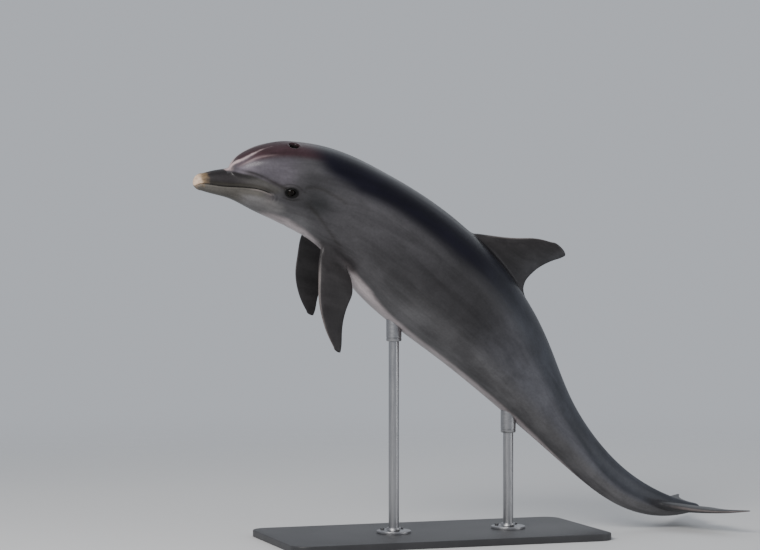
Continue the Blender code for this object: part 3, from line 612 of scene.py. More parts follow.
def blowhole_sink(points):
    """How far the open blowhole and its rim move the skin, and how much of a place is in the hole; that share
    is painted black, as painted shade.
    """
    off = points - BLOWHOLE_SPOT
    u, v = -off[:, 0], off[:, 1]
    outer = np.hypot(u / BLOWHOLE_LONG, v / BLOWHOLE_WIDE)
    plug = np.hypot((u - PLUG_AHEAD) / PLUG_LONG, v / PLUG_WIDE)
    inside = (1 - ease(*BLOW_EDGE, outer)) * ease(*PLUG_EDGE, plug)
    rim = BLOW_RIM * hump(1.22, 0.20, outer)
    rim += PLUG_RIM * (1 - ease(0.6, 1.0, plug)) * (1 - ease(0.9, 1.2, outer))
    near = (outer < BLOW_REACH) & (points[:, 2] > 0)
    return np.where(near, rim - BLOW_DEEP * inside, 0), np.where(near, ease(0.05, 0.5, inside), 0)


def folds(points):
    """How far each place of the straight body moves outwards, and the masks that the folds give, among them
    painted shade in the grooves and a painted highlight on the lower lip.
    """
    x, z = points[:, 0], points[:, 2]
    side = folded(points)
    masks = {}

    gape = z - mouth_height(x)
    fade = between(*MOUTH_START, *MOUTH_END, x)
    rear = ease(*SLIT_DEEPENS, x)
    slit = hump(0, SLIT_HALF, gape) * fade
    rise = -mix(*SLIT_DEEP, rear) * slit
    for swell, height, half in (LIP_UPPER, LIP_LOWER):
        rise += swell * hump(height, half, gape) * fade * ease(*LIPS_START, x)
    # Painted shade: the mouth's groove is painted near black
    masks["slit"] = slit * mix(SLIT_SHADE_FAINT, 1.0, ease(*SLIT_SHADE_DARKENS, x)) * mix(SLIT_SHALLOW, 1.0, rear)
    # A painted highlight along the lower lip, under the mouth's line
    masks["lip"] = hump(*LIP_HIGHLIGHT, gape) * between(*LIP_HIGHLIGHT_ALONG, x)

    distance, along = line_distance(side, CREASE_LINE)
    deep = mix(CREASE_FAINT, 1.0, ease(*CREASE_FROM, along)) * mix(1.0, CREASE_LEFT, ease(*CREASE_TO, along))
    groove = CREASE_DEEP * hump(0, CREASE_HALF, distance)
    rise += (CREASE_BANK * hump(*CREASE_BANK_AT, distance) - groove) * deep
    dark = mix(CREASE_FAINT, 1.0, ease(*CREASE_DARK_FROM, along))
    masks["crease"] = hump(0, mix(*CREASE_WIDTHS, along), distance) * dark

    lids, ring = eye_lids(side)
    masks["lids"] = 1 - ease(1.40, 2.00, ring)
    masks["lid_halo"] = 1 - ease(1.5, 3.0, ring)
    # The blowhole's mask paints its inside black, as painted shade
    sink, masks["blowhole"] = blowhole_sink(points)
    rise += lids + sink

    ear = np.linalg.norm(side - EAR_SPOT, axis=1)
    rise -= EAR_DEEP * hump(0, EAR_HALF, ear)
    # Painted shade in the ear's pit, the folds, the belly's slits and the navel
    fold_shade = hump(0, 0.003, ear)
    for lines, depth, half, dark, ends in FOLD_TABLE:
        for line in lines:
            distance, along = line_distance(side, line)
            kept = between(*ends, along)
            groove = hump(0, half, distance) * kept
            rise += depth * (FOLD_BANK * hump(2.2 * half, half, distance) * kept - groove)
            fold_shade = np.maximum(fold_shade, dark * groove)

    middle = hump(0, BELLY_LINE_HALF, side[:, 1]) * (z < 0)
    slits = middle * (between(*VENT, x) + between(*MILK_SLIT, x))
    navel = hump(NAVEL[0], NAVEL[1], x) * hump(0, NAVEL[2], side[:, 1]) * (z < 0)
    rise -= VENT_DEEP * slits + NAVEL_DEEP * navel
    masks["fold_shade"] = np.maximum(fold_shade, np.maximum(slits, navel * 0.6))
    return rise, masks


# ---------------------------------------------------------------- the skin's markings, with painted highlights and painted shade
# Each row: station, and the turns from the back, in degrees, that the cape fades out between
CAPE_EDGE = ((0.30, 4, 28), (0.42, 30, 66), (0.55, 46, 76), (0.90, 48, 74), (1.30, 50, 84),
             (1.60, 60, 100), (2.0, 80, 130))
# Each row: station, and the turn that the pale belly starts from
BELLY_EDGE = ((0.06, 126), (0.20, 121), (0.34, 120), (0.40, 126), (0.45, 132), (0.53, 138),
              (0.67, 138), (0.80, 141), (0.95, 148), (1.60, 150), (1.95, 168))
BELLY_FADE = ((0.30, 34), (0.70, 18))    # station, and how many degrees it takes to grow pale
CAPE_FROM = (0.32, 0.47)
BELLY_ALONG = (0.13, 0.28, 1.85, 2.10)   # where it comes, is full, fades and is gone
LOW_TURNS = (96, 140)             # the lower flank grows paler between these
LOW_LESS = (0.38, 0.46, 0.80, 1.05)      # but less so over the flippers, along here
# Fields of colour. name: where it comes, is full, fades and is gone, by station and by turn
FIELDS = {
    "melon": ((0.10, 0.14, 0.25, 0.40), (20, 34, 66, 88)),
    "crown": ((0.12, 0.16, 0.44, 0.60), (-2, -1, 22, 42)),
}
# Soft patches. name, and for each patch: strength; middle and half size, by station and by turn
PATCHES = {
    "temple": ((1.0, (0.425, 0.065), (92, 25)),),
    # The wrinkles at the mouth's corner, which also carry pale painted highlights
    "wrinkle": ((1.0, (0.256, 0.014), (107, 12)),),
    # painted shade round the flipper's root
    "root": ((1.0, (0.590, 0.090), (143, 15)), (1.3, (0.672, 0.032), (149, 12))),
}
# A painted highlight on the front of the melon, where the light falls: station and half length, and turns
BROW_HIGHLIGHT_ALONG, BROW_HIGHLIGHT_TURNS = (0.165, 0.030), (6, 22, 46, 66)


def read(table, x, column=1):
    """A table's column, straight from each station to the next."""
    rows = np.array(table)
    return np.interp(x, rows[:, 0], rows[:, column])


def line_marks(side, marks):
    """The pale stripes of the forehead, the dark between them, and a painted highlight at the crease's front.
    """
    distance, along = line_distance(side, STRIPE)
    marks["stripe"] = hump(0, mix(0.0090, 0.0040, along), distance) * (1 - ease(0.40, 1.0, along))
    marks["stripe"] *= 1 - 0.3 * ease(0.1, 0.4, along)
    marks["stripe_dark"] = hump(0.0170, 0.0095, distance) * between(0.12, 0.40, 0.6, 1.0, along)
    distance, along = line_distance(side, LOW_STRIPE)
    marks["low_stripe"] = hump(0, 0.0045, distance) * between(0, 0.3, 0.6, 1.0, along)
    distance, along = line_distance(side, CREASE_LINE)
    # A painted highlight: a pale pink spot at the front of the crease
    marks["painted_glint"] = hump(0.003, 0.0045, distance) * (1 - ease(0.05, 0.20, along))


# The beak's own marks. Heights are over the mouth's line
UPPER_FROM = (-0.002, 0.006)      # where the upper beak's colours begin
BEAK_GONE, BEAK_LOW = (0.262, 0.330), 0.002   # where the beak's dark ends behind, and below
BEAK_SOFT, BEAK_SOFTENS = (0.004, 0.024), (0.225, 0.300)   # the lower edge's half height, growing here
BEAK_TOP = (-0.018, 0.005)        # heights over the crease
CREASE_AHEAD = (0.105, 0.0, 0.080)   # the crease's line starts from here, for that
BAND, BAND_ALONG = (0.008, 0.007), (0.03, 0.07, 0.24, 0.30)
THROAT_TURNS, THROAT_FROM, THROAT_LESS = (122, 150), (0.19, 0.31), 0.8
JAW_GONE = (0.19, 0.29)
JAW_PALE_ALONG, JAW_PALE_TURNS = (0.12, 0.22, 0.26, 0.36), (96, 118)
TIP_BACK, TIP_LONG, TIP_LOWER = 0.060, 0.040, 0.25   # the brown tip: its end, its fade, its share on the jaw
PALE_BACK, PALE_LONG, PALE_LOWER = 0.036, 0.032, 0.35    # and the same of the pale spot on it
PALE_HEIGHT, PALE_NARROWS = 0.014, 0.3


def beak_marks(x, z, turn, marks):
    """The dark upper beak, the band over the mouth, the jaw, the throat and the pale tip."""
    gape = z - mouth_height(x)
    over = ease(*UPPER_FROM, gape)
    crease = np.array((CREASE_AHEAD,) + CREASE)
    over_crease = z - np.interp(x, crease[:, 0], crease[:, 2])
    above = ease(-1, 1, (gape - BEAK_LOW) / mix(*BEAK_SOFT, ease(*BEAK_SOFTENS, x)))
    marks["beak"] = (1 - ease(*BEAK_GONE, x)) * above * (1 - ease(*BEAK_TOP, over_crease))
    marks["band"] = hump(*BAND, gape) * between(*BAND_ALONG, x)
    throat = ease(*THROAT_TURNS, turn) * ease(*THROAT_FROM, x)
    marks["jaw"] = (1 - ease(*JAW_GONE, x)) * (1 - over) * (1 - THROAT_LESS * throat)
    marks["jaw_pale"] = between(*JAW_PALE_ALONG, x) * ease(*JAW_PALE_TURNS, turn) * (1 - throat)
    marks["tip"] = ease(0, 1, (TIP_BACK - x) / TIP_LONG) * mix(TIP_LOWER, 1.0, over)
    ahead = PALE_BACK - x - PALE_NARROWS * np.abs(z - PALE_HEIGHT)
    marks["tip_pale"] = np.clip(ahead / PALE_LONG, 0, 1) * mix(PALE_LOWER, 1.0, over)


def markings(points, turns):
    """Masks of the markings, with painted highlights and painted shade, from the station, the turn from the
    back, and lines on the head.
    """
    x, z = points[:, 0], points[:, 2]
    turn = np.degrees(np.abs(turns))
    marks = {}
    cape = ease(0, 1, (turn - read(CAPE_EDGE, x)) / (read(CAPE_EDGE, x, 2) - read(CAPE_EDGE, x)))
    marks["cape"] = (1 - cape) * ease(*CAPE_FROM, x)
    belly = ease(0, 1, (turn - read(BELLY_EDGE, x)) / read(BELLY_FADE, x))
    marks["belly"] = belly * between(*BELLY_ALONG, x)
    marks["low"] = ease(0, 1, ease(*LOW_TURNS, turn) * (1 - 0.6 * between(*LOW_LESS, x)))
    marks["brow_highlight"] = hump(*BROW_HIGHLIGHT_ALONG, x) * between(*BROW_HIGHLIGHT_TURNS, turn)
    for name, (stations, turned) in FIELDS.items():
        marks[name] = between(*stations, x) * between(*turned, turn)
    for name, rows in PATCHES.items():
        marks[name] = sum(strong * hump(*at, x) * hump(*turned, turn) for strong, at, turned in rows)
        marks[name] = np.minimum(marks[name], 1)
    beak_marks(x, z, turn, marks)
    line_marks(folded(points), marks)
    return marks


# ---------------------------------------------------------------- putting the skin together
LAID = ("laid_x", "laid_y", "laid_z")   # the straight body's coordinates, which streaks follow
# How far each halving of the face's mesh reaches from mouth, crease, eye, blowhole and folds
FACE_REACHES = ((0.009, 0.010, 0.036, 0.034, 0.007), (0.0040, 0.0, 0.027, 0.024, 0))
WIDER_LONG, WIDER_ACROSS = 1.06, 1.12   # a ring this much wider than a hole tells the skin's slope
FOOT_LOOK = 0.02                  # how much further up the blade its slope is read, as a share of the span
FORE_EDGE = 0.05                  # the leading edge's share of the chord
ROOT_SHADE = 0.8                   # how dark the painted shade is round a fin's root
FOOT_ENDS = (0.25 * FOOT_SHARE, 0.95 * FOOT_SHARE)   # the shares of the span that softening ends between
RIM_ENDS = (0.15, 0.40)           # and those that the leading edge grows pale between


def corner_places(bm):
    return np.array([v.co[:] for v in bm.verts])


def put_corners(bm, places):
    for vert, place in zip(bm.verts, places):
        vert.co = place


def make_object(name, bm, sharp=None):
    """A smooth piece made of the mesh, but for the edges sharper than this many degrees."""
    mesh = bpy.data.meshes.new(name)
    bm.to_mesh(mesh)
    bm.free()
    mesh.shade_smooth()
    if sharp:
        mesh.set_sharp_from_angle(angle=np.radians(sharp))
    made = bpy.data.objects.new(name, mesh)
    bpy.context.scene.collection.objects.link(made)
    return made


def foot_rings(fin, edge, inwards, turn):
    """Rings of a fillet from the hole's edge to the blade, each with its share of the span."""
    foot = fin.skin(FOOT_SHARE, turn)
    rise = unit(fin.skin(FOOT_SHARE + FOOT_LOOK, turn) - foot)
    gap = np.linalg.norm(foot - edge, axis=1, keepdims=True)
    for t in np.arange(1, FOOT_RINGS) / FOOT_RINGS:
        leave, arrive = (t**3 - 2 * t**2 + t) * gap * inwards, (t**3 - t**2) * gap * rise
        yield (2 * t**3 - 3 * t**2 + 1) * edge + leave + (3 * t**2 - 2 * t**3) * foot + arrive, t * FOOT_SHARE


def grow_fin(bm, fin, loop, flat, fins, data, laid, below):
    """Rings from the hole's edge up the blade to its tip. Adds to the lists for each corner."""
    middle, columns = fin.hole[2:4]
    half = columns * 2 * np.pi / COLUMNS
    under = [vert.index for vert in loop]
    xs, at = flat[under, 0], flat[under, 1]
    centre, reach = (xs.min() + xs.max()) / 2, (xs.max() - xs.min()) / 2
    across = (at - np.radians(middle)) / half
    turn = np.arctan2(-across, -(xs - centre) / reach)
    edge = np.array([v.co[:] for v in loop])
    straight = skin_point(xs, true_turn(xs, at, fins))
    aside = fin.span * unit(straight.mean(axis=0) * [0, 1, 1])
    wide_x = centre + (xs - centre) * WIDER_LONG
    wide_turn = true_turn(wide_x, np.radians(middle) + across * half * WIDER_ACROSS, fins)
    rings = list(foot_rings(fin, edge, unit(edge - bend(skin_point(wide_x, wide_turn))), turn))
    full = fin.lines[-1][0]
    tips = np.sin(np.linspace(0, np.pi / 2, BLADE_TIP_RINGS + 1)[1:-1])
    shares = np.concatenate([np.linspace(FOOT_SHARE, full, BLADE_RINGS), full + (1 - full) * tips])
    rings += [(fin.skin(share, turn), share) for share in shares]
    fore = 1 - ease(0.0, FORE_EDGE, (1 - np.cos(turn)) / 2)
    last = loop
    for ring, share in rings:
        row = [bm.verts.new(point) for point in ring]
        data.extend((share, *corner) for corner in zip(turn, fore))
        below.extend(under)
        laid.extend(straight + aside * share)
        wall(bm, last, row)
        last = row
    fan(bm, last, fin.skin(1.0, turn).mean(axis=0))
    data.append((1.0, 0.0, 0.0))
    below.append(under[0])
    laid.append(straight.mean(axis=0) + aside)


def soften(points, edges, share, rounds):
    """Each place moves towards the middle of its neighbours, by its share, again and again."""
    a, b = edges.T
    size = len(points)
    count = np.bincount(edges.ravel(), minlength=size)[:, None]
    for _ in range(rounds):
        total = np.stack([np.bincount(a, along[b], size) + np.bincount(b, along[a], size)
                          for along in points.T], -1)
        points = points + share[:, None] * (total / count - points)
    return points


def spread_out(values, edges, steps):
    """Values handed on to the neighbours, less at each step."""
    a, b = edges.T
    for _ in range(steps):
        handed = values.copy()
        np.maximum.at(handed, a, values[b] * (1 - 1 / steps))
        np.maximum.at(handed, b, values[a] * (1 - 1 / steps))
        values = handed
    return values


def make_skin(fins):
    bm = bmesh.new()
    lay_sheet(bm, fins)
    for reaches in FACE_REACHES:
        refine(bm, reaches)
    bm.verts.index_update()
    loops = hole_loops(bm, len(fins))
    flat = corner_places(bm)
    turns = true_turn(flat[:, 0], flat[:, 1], fins)
    straight = skin_point(flat[:, 0], turns)
    put_corners(bm, straight)
    bmesh.ops.recalc_face_normals(bm, faces=bm.faces)
    bm.normal_update()
    out = np.array([v.normal[:] for v in bm.verts])
    out *= np.sign(np.sum(out[:, 1] * straight[:, 1]))
    rise, masks = folds(straight)
    masks.update(markings(straight, turns))
    put_corners(bm, bend(straight + out * rise[:, None]))

    body_count = len(flat)
    data, laid, below = [], list(straight), []
    for fin, loop in zip(fins, loops):
        grow_fin(bm, fin, loop, flat, fins, data, laid, below)
    bm.verts.index_update()
    data = np.array(data)
    share, _, fore = np.concatenate([np.zeros((body_count, 3)), data]).T
    edges = np.array([[v.index for v in e.verts] for e in bm.edges])
    foot = (share > 0) * (1 - ease(*FOOT_ENDS, share))
    foot[[v.index for loop in loops for v in loop]] = 1
    # Painted shade round every fin's root
    masks["root"] = np.maximum(masks["root"], ROOT_SHADE * spread_out(foot, edges, ROOT_STEPS)[:body_count])
    foot[:body_count] = spread_out(foot, edges, SOFTEN_STEPS)[:body_count]
    put_corners(bm, soften(corner_places(bm), edges, 0.5 * foot, SOFTEN_TURNS))
    bmesh.ops.recalc_face_normals(bm, faces=bm.faces)
    lay_map(bm, flat, data)
    skin = make_object("dolphin_skin", bm)
    masks = {name: np.concatenate([mask, mask[below]]) for name, mask in masks.items()}
    masks.update(zip(LAID, np.array(laid).T))
    masks["fin"] = ease(0.0, FOOT_SHARE, share)
    masks["rim"] = fore * ease(*RIM_ENDS, share)
    for name, values in masks.items():
        skin.data.attributes.new(name, "FLOAT", "POINT").data.foreach_set("value", values.astype(np.float32))
    return skin


# The unwrap: the body cut open along the belly, and a strip for each fin beside it
BODY_LEFT, BODY_WIDE, BODY_LOW, BODY_HIGH = 0.004, 0.757, 0.01, 0.98
HEAD_END, HEAD_SHARE = 0.50, 0.36       # the head's length, and its share of the body's height there
STRIP_LEFT, STRIP_WIDE, STRIP_STEP, STRIP_HIGH = 0.792, 0.18, 0.198, 0.185


def lay_map(bm, flat, data):
    layer = bm.loops.layers.uv.new("OFBake")
    tips = np.nonzero(data[:, 0] >= 1.0)[0]
    for face in bm.faces:
        rows = [loop.vert.index for loop in face.loops]
        if max(rows) < len(flat):
            places = body_places([flat[row] for row in rows])
        else:
            free = [data[row - len(flat)] if row >= len(flat) else None for row in rows]
            strip = np.searchsorted(tips, max(rows) - len(flat))
            places = fin_places(free, BODY_LOW + STRIP_STEP * strip)
        for loop, place in zip(face.loops, places):
            loop[layer].uv = place


def unbroken(turns, known):
    """Turns round a face's corners without the jump at a full turn; unknown ones get the others' middle."""
    most = max(turn for turn, good in zip(turns, known) if good)
    kept = [turn + 2 * np.pi if most - turn > np.pi else turn for turn in turns]
    middle = np.mean([turn for turn, good in zip(kept, known) if good])
    return [turn if good else middle for turn, good in zip(kept, known)]


def body_places(corners):
    """Map places of a face of the body: round it from the left, along it upwards, the head larger."""
    turns = unbroken([corner[1] for corner in corners], [0 < corner[0] < LENGTH for corner in corners])
    ups = np.interp([corner[0] for corner in corners], (0, HEAD_END, LENGTH), (0, HEAD_SHARE, 1))
    return [(BODY_LEFT + BODY_WIDE * (turn / (2 * np.pi) + 0.5), BODY_LOW + BODY_HIGH * up)
            for turn, up in zip(turns, ups)]


def fin_places(free, low):
    """Map places of a face of a fin, in its strip. free: corners' shares and turns, or None on the body."""
    turns = [0.0 if corner is None else corner[1] for corner in free]
    shares = [0.0 if corner is None else corner[0] for corner in free]
    for k, corner in enumerate(free):
        after = (k + 1) % len(free)
        if corner is None:
            turns[k] = turns[k - 1] if free[after] is None else turns[after]
    turns = unbroken(turns, [share < 1.0 for share in shares])
    return [(STRIP_LEFT + STRIP_WIDE * (turn / (2 * np.pi) + 0.5), low + STRIP_HIGH * share)
            for turn, share in zip(turns, shares)]


# ---------------------------------------------------------------- materials
class Wiring:
    """Short calls that add nodes to a tree and join them."""

    def __init__(self, tree):
        self.tree = tree

    def put(self, socket, value):
        if isinstance(value, bpy.types.NodeSocket):
            self.tree.links.new(value, socket)
        elif socket.type == "RGBA" and len(value) == 3:
            socket.default_value = (*value, 1)
        else:
            socket.default_value = value

    def node(self, kind, takes=(), **settings):
        """A node with its settings, and what each of its inputs takes."""
        made = self.tree.nodes.new(kind)
        for key, value in settings.items():
            setattr(made, key, value)
        for key, value in dict(takes).items():
            self.put(made.inputs[key], value)
        return made

    def math(self, operation, a, b):
        return self.node("ShaderNodeMath", {0: a, 1: b}, operation=operation).outputs[0]

    def times(self, a, b):
        return self.math("MULTIPLY", a, b)

    def plus(self, a, b):
        return self.math("ADD", a, b)

    def most(self, a, b):
        return self.math("MAXIMUM", a, b)

    def mix(self, share, a, b, blend="MIX"):
        takes = {"Factor": share, "A": a, "B": b}
        return self.node("ShaderNodeMix", takes, data_type="RGBA", blend_type=blend).outputs["Result"]

    def mask(self, name):
        return self.node("ShaderNodeAttribute", attribute_name=name).outputs["Fac"]

    def object_place(self):
        return self.node("ShaderNodeTexCoord").outputs["Object"]

    def stretch(self, vector, scale):
        takes = {0: vector, 1: scale}
        return self.node("ShaderNodeVectorMath", takes, operation="MULTIPLY").outputs["Vector"]

    def noise(self, vector, scale, detail=3.0, rough=0.5, distortion=0.0):
        takes = {"Scale": scale, "Detail": detail, "Roughness": rough, "Distortion": distortion}
        return self.node("ShaderNodeTexNoise", {"Vector": vector, **takes}).outputs["Fac"]

    def ramp(self, value, low, high, start=0.0, end=1.0):
        """From start to end, in an even S, as the value goes from low to high."""
        takes = {"Value": value, "From Min": low, "From Max": high, "To Min": start, "To Max": end}
        made = self.node("ShaderNodeMapRange", takes, interpolation_type="SMOOTHSTEP", clamp=True)
        return made.outputs["Result"]

    def bump(self, height, strength, distance):
        takes = {"Height": height, "Strength": strength, "Distance": distance}
        return self.node("ShaderNodeBump", takes).outputs["Normal"]

    def shader(self, **takes):
        takes = {key.replace("_", " "): value for key, value in takes.items()}
        made = self.node("ShaderNodeBsdfPrincipled", takes)
        self.node("ShaderNodeOutputMaterial", {"Surface": made.outputs["BSDF"]})


def new_material(name):
    """An empty material, the wiring of its tree, and the place on the object."""
    material = bpy.data.materials.new(name)
    material.use_nodes = True
    material.node_tree.nodes.clear()
    wire = Wiring(material.node_tree)
    return material, wire, wire.object_place()


def mottle_group():
    """Soft blotches and fine specks: a share near 0.5 for colours, and a height for bump."""
    tree = bpy.data.node_groups.new("mottle", "ShaderNodeTree")
    for socket, kind in (("Place", "Vector"), ("Blotch Scale", "Float"), ("Speck Scale", "Float")):
        tree.interface.new_socket(socket, in_out="INPUT", socket_type="NodeSocket" + kind)
    for socket in ("Blotch", "Speck", "Height"):
        tree.interface.new_socket(socket, in_out="OUTPUT", socket_type="NodeSocketFloat")
    wire = Wiring(tree)
    take = wire.node("NodeGroupInput").outputs
    blotch = wire.noise(take["Place"], take["Blotch Scale"], 4.0, 0.55, 0.3)
    speck = wire.noise(take["Place"], take["Speck Scale"], 5.0, 0.6)
    height = wire.plus(wire.times(blotch, 0.4), wire.times(speck, 0.6))
    wire.node("NodeGroupOutput", {"Blotch": blotch, "Speck": speck, "Height": height})
    return tree


def use_mottle(wire, mottle, place, blotch, speck):
    """The mottle at a place, with the scales of its blotches and specks."""
    made = wire.node("ShaderNodeGroup")
    made.node_tree = mottle
    for key, value in (("Place", place), ("Blotch Scale", blotch), ("Speck Scale", speck)):
        wire.put(made.inputs[key], value)
    return made.outputs


FLANK = ((0.053, 0.051, 0.055), (0.029, 0.028, 0.030), (0.094, 0.095, 0.108))   # fore, middle, rear; the rear's paler, bluer grey is painted sky sheen
FLANK_TURNS = ((0.62, 0.98), (1.10, 1.55))   # the stations that each turns into the next between
REAR_SHEEN = (0.98, 1.42)               # the stations that cape and fins grow paler and bluer between: painted sky sheen of the wet rear
PINK = (0.36, 0.28, 0.28)
# Pale of the fins' leading edges, and of the painted highlights on the lip and the wrinkles
PALE_EDGE_AND_HIGHLIGHT = (0.17, 0.145, 0.14)
# Dark of the eye stripe and the eye patch, and painted shade in the folds
DARK_MARK_AND_SHADE = (0.014, 0.012, 0.010)
BLACK = (0.002, 0.002, 0.002)
EYE_COLOURS = (0.002, 0.0015, 0.0015), (0.008, 0.005, 0.003)
PLATE_COLOURS = (0.020, 0.020, 0.022), (0.030, 0.030, 0.033)
FLOOR_COLOUR = (0.57, 0.57, 0.57)
# The skin's colours over the flank's, from the bottom up. Each row: its mask; a share of that, or
# the values that it fades between and how far its edge wanders, at large and in the small; the
# colour; and where there is one, the colour that this turns into and the stations between which
LAYERS = (
    ("temple", 0.75, (0.016, 0.017, 0.018)),
    ("low", 1.0, (0.100, 0.098, 0.102)),
    ("belly", (0.15, 0.85, 0.8), (0.38, 0.335, 0.340)),
    ("jaw", (0.1, 0.9, 0.4), (0.088, 0.082, 0.074)),
    ("jaw_pale", (0.1, 0.9, 0.5), (0.148, 0.142, 0.142)),
    ("melon", (0.1, 0.9, 0.4), (0.076, 0.069, 0.080)),
    ("crown", (0.1, 0.9, 0.5), (0.033, 0.017, 0.021)),
    # painted highlight on the front of the melon
    ("brow_highlight", 0.7, (0.135, 0.120, 0.140)),
    ("beak", (0.2, 0.8, 0.4), (0.019, 0.017, 0.018), (0.060, 0.057, 0.055), 0.13, 0.23),
    ("band", 0.8, (0.020, 0.018, 0.014)),
    # the cape's rear colour is paler and bluer with painted sky sheen
    ("cape", (0.05, 0.95, 0.5), (0.0042, 0.0040, 0.0086), (0.044, 0.047, 0.056), *REAR_SHEEN),
    # painted shade round the fins' roots
    ("root", 0.80, (0.020, 0.018, 0.019)),
    ("fin", 1.0, (0.028, 0.026, 0.027), (0.040, 0.040, 0.043), *REAR_SHEEN),
    ("stripe_dark", 0.7, (0.030, 0.014, 0.016)),
    ("low_stripe", 0.30, PINK),
    ("stripe", (0.05, 1.0, 0.3, 0.5), PINK),
    ("tip", (0.05, 1.0, 0.4, 1.3), (0.155, 0.109, 0.066)),
    ("tip_pale", (0.0, 1.0, 0.3, 0.8), (0.55, 0.41, 0.305)),
    ("rim", 0.7, PALE_EDGE_AND_HIGHLIGHT),
    ("crease", 0.72, DARK_MARK_AND_SHADE),
    # painted highlight at the front of the crease
    ("painted_glint", 0.5, PINK),
    # painted highlight on the lower lip
    ("lip", 0.6, PALE_EDGE_AND_HIGHLIGHT),
    # painted highlights on the wrinkles at the mouth's corner
    ("wrinkle", 0.30, PALE_EDGE_AND_HIGHLIGHT),
    # painted shade in the folds, slits and navel
    ("fold_shade", 0.45, DARK_MARK_AND_SHADE),
    ("lid_halo", 0.45, DARK_MARK_AND_SHADE),
    ("lids", 0.97, BLACK),
    # painted shade inside the open blowhole
    ("blowhole", 1.0, BLACK),
    # painted shade in the mouth's groove
    ("slit", 0.92, BLACK),
)


def skin_colour(wire, spots, place, streaks):
    """The layers of colour, one over the other, and the unevenness over them all."""
    wander = wire.times(wire.math("SUBTRACT", spots["Blotch"], 0.5), 0.55)
    small = wire.math("SUBTRACT", wire.noise(place, 55.0, 4.0, 0.6), 0.5)
    station = wire.mask("laid_x")

    def edge(name, low, high, amount, fine=0.0):
        """A mask whose edge wanders a little, but never past where the mask ends."""
        moved = wire.plus(wire.mask(name), wire.times(wander, amount))
        if fine:
            moved = wire.plus(moved, wire.times(small, fine))
        return wire.times(wire.ramp(moved, low, high), wire.ramp(wire.mask(name), 0.0, 0.12))

    colour = FLANK[0]
    for further, ends in zip(FLANK[1:], FLANK_TURNS):
        colour = wire.mix(wire.ramp(station, *ends), colour, further)
    for name, how, tint, *turn in LAYERS:
        if turn:
            tint = wire.mix(wire.ramp(station, *turn[1:]), tint, turn[0])
        share = edge(name, *how) if isinstance(how, tuple) else wire.times(wire.mask(name), how)
        colour = wire.mix(share, colour, tint)
    tone = wire.ramp(spots["Speck"], 0.30, 0.72, 0.93, 1.08)
    for pattern in (spots["Blotch"], streaks):
        tone = wire.times(tone, wire.ramp(pattern, 0.30, 0.70, 0.84, 1.18))
    shade = wire.node("ShaderNodeCombineColor", {0: tone, 1: tone, 2: tone}).outputs["Color"]
    return wire.mix(1.0, colour, shade, "MULTIPLY")


def skin_material(mottle):
    material, wire, place = new_material("wet_dolphin_skin")
    spots = use_mottle(wire, mottle, place, 7.0, 110.0)
    laid = wire.node("ShaderNodeCombineXYZ", {k: wire.mask(name) for k, name in enumerate(LAID)})
    laid = laid.outputs["Vector"]
    streaks = wire.noise(wire.stretch(laid, (2.2, 26.0, 26.0)), 1.0, 4.0, 0.6, 0.4)
    dull = wire.most(wire.most(wire.mask("blowhole"), wire.times(wire.mask("lids"), 0.6)), wire.mask("slit"))
    rough = wire.most(wire.ramp(streaks, 0.3, 0.7, 0.34, 0.46), wire.times(dull, 0.9))
    dry = wire.most(dull, wire.most(wire.times(wire.mask("cape"), 0.6), wire.times(wire.mask("fin"), 0.5)))
    wrinkles = wire.noise(wire.stretch(laid, (420.0, 120.0, 120.0)), 1.0, 3.0, 0.6, 1.0)
    wrinkles = wire.times(wrinkles, wire.ramp(wire.mask("wrinkle"), 0.1, 0.8, 0.0, 3.0))
    fine = wire.noise(wire.stretch(laid, (60.0, 160.0, 160.0)), 1.0, 3.0)
    height = wire.plus(wire.plus(wire.times(spots["Height"], 0.7), wire.times(fine, 0.3)), wrinkles)
    wire.shader(Base_Color=skin_colour(wire, spots, place, streaks), Roughness=rough, Specular_IOR_Level=0.11,
                Coat_Weight=wire.times(wire.math("SUBTRACT", 1.0, dry), 0.14), Coat_Roughness=0.15,
                Coat_IOR=1.33, Normal=wire.bump(height, 0.20, 0.0009))
    return material


def eye_material(mottle):
    material, wire, place = new_material("eye_gloss")
    spots = use_mottle(wire, mottle, place, 160.0, 600.0)
    wire.shader(Base_Color=wire.mix(wire.ramp(spots["Blotch"], 0.40, 0.75), *EYE_COLOURS),
                Roughness=wire.ramp(spots["Speck"], 0.3, 0.7, 0.16, 0.22), Specular_IOR_Level=0.12)
    return material


def plate_material(mottle):
    material, wire, place = new_material("black_powder_coat")
    spots = use_mottle(wire, mottle, place, 5.0, 900.0)
    wire.shader(Base_Color=wire.mix(wire.ramp(spots["Blotch"], 0.3, 0.7), *PLATE_COLOURS),
                Roughness=wire.ramp(spots["Speck"], 0.3, 0.7, 0.42, 0.55),
                Normal=wire.bump(spots["Speck"], 0.5, 0.0004))
    return material


def steel_material(mottle, name, grain, colour_low, colour_high, rough):
    """Brushed steel, its grain as the stretched noise gives it."""
    material, wire, place = new_material(name)
    spots = use_mottle(wire, mottle, place, 9.0, 300.0)
    lines = wire.noise(wire.stretch(place, grain), 1.0, 4.0, 0.6)
    uneven = wire.plus(wire.ramp(lines, 0.3, 0.7, rough, rough + 0.12),
                       wire.ramp(spots["Blotch"], 0.3, 0.7, 0.0, 0.05))
    wire.shader(Base_Color=wire.mix(wire.ramp(lines, 0.3, 0.7), colour_low, colour_high), Metallic=1.0,
                Roughness=uneven, Normal=wire.bump(lines, 0.12, 0.0003))
    return material


def floor_material():
    """A pale floor that fades out far from the model."""
    material, wire, place = new_material("pale_floor")
    away = wire.node("ShaderNodeVectorMath", {0: place}, operation="LENGTH").outputs["Value"]
    there = wire.ramp(away, *FLOOR_FADE, 1.0, 0.0)
    wire.shader(Base_Color=FLOOR_COLOUR, Roughness=0.8, Alpha=wire.times(there, there))
    return material


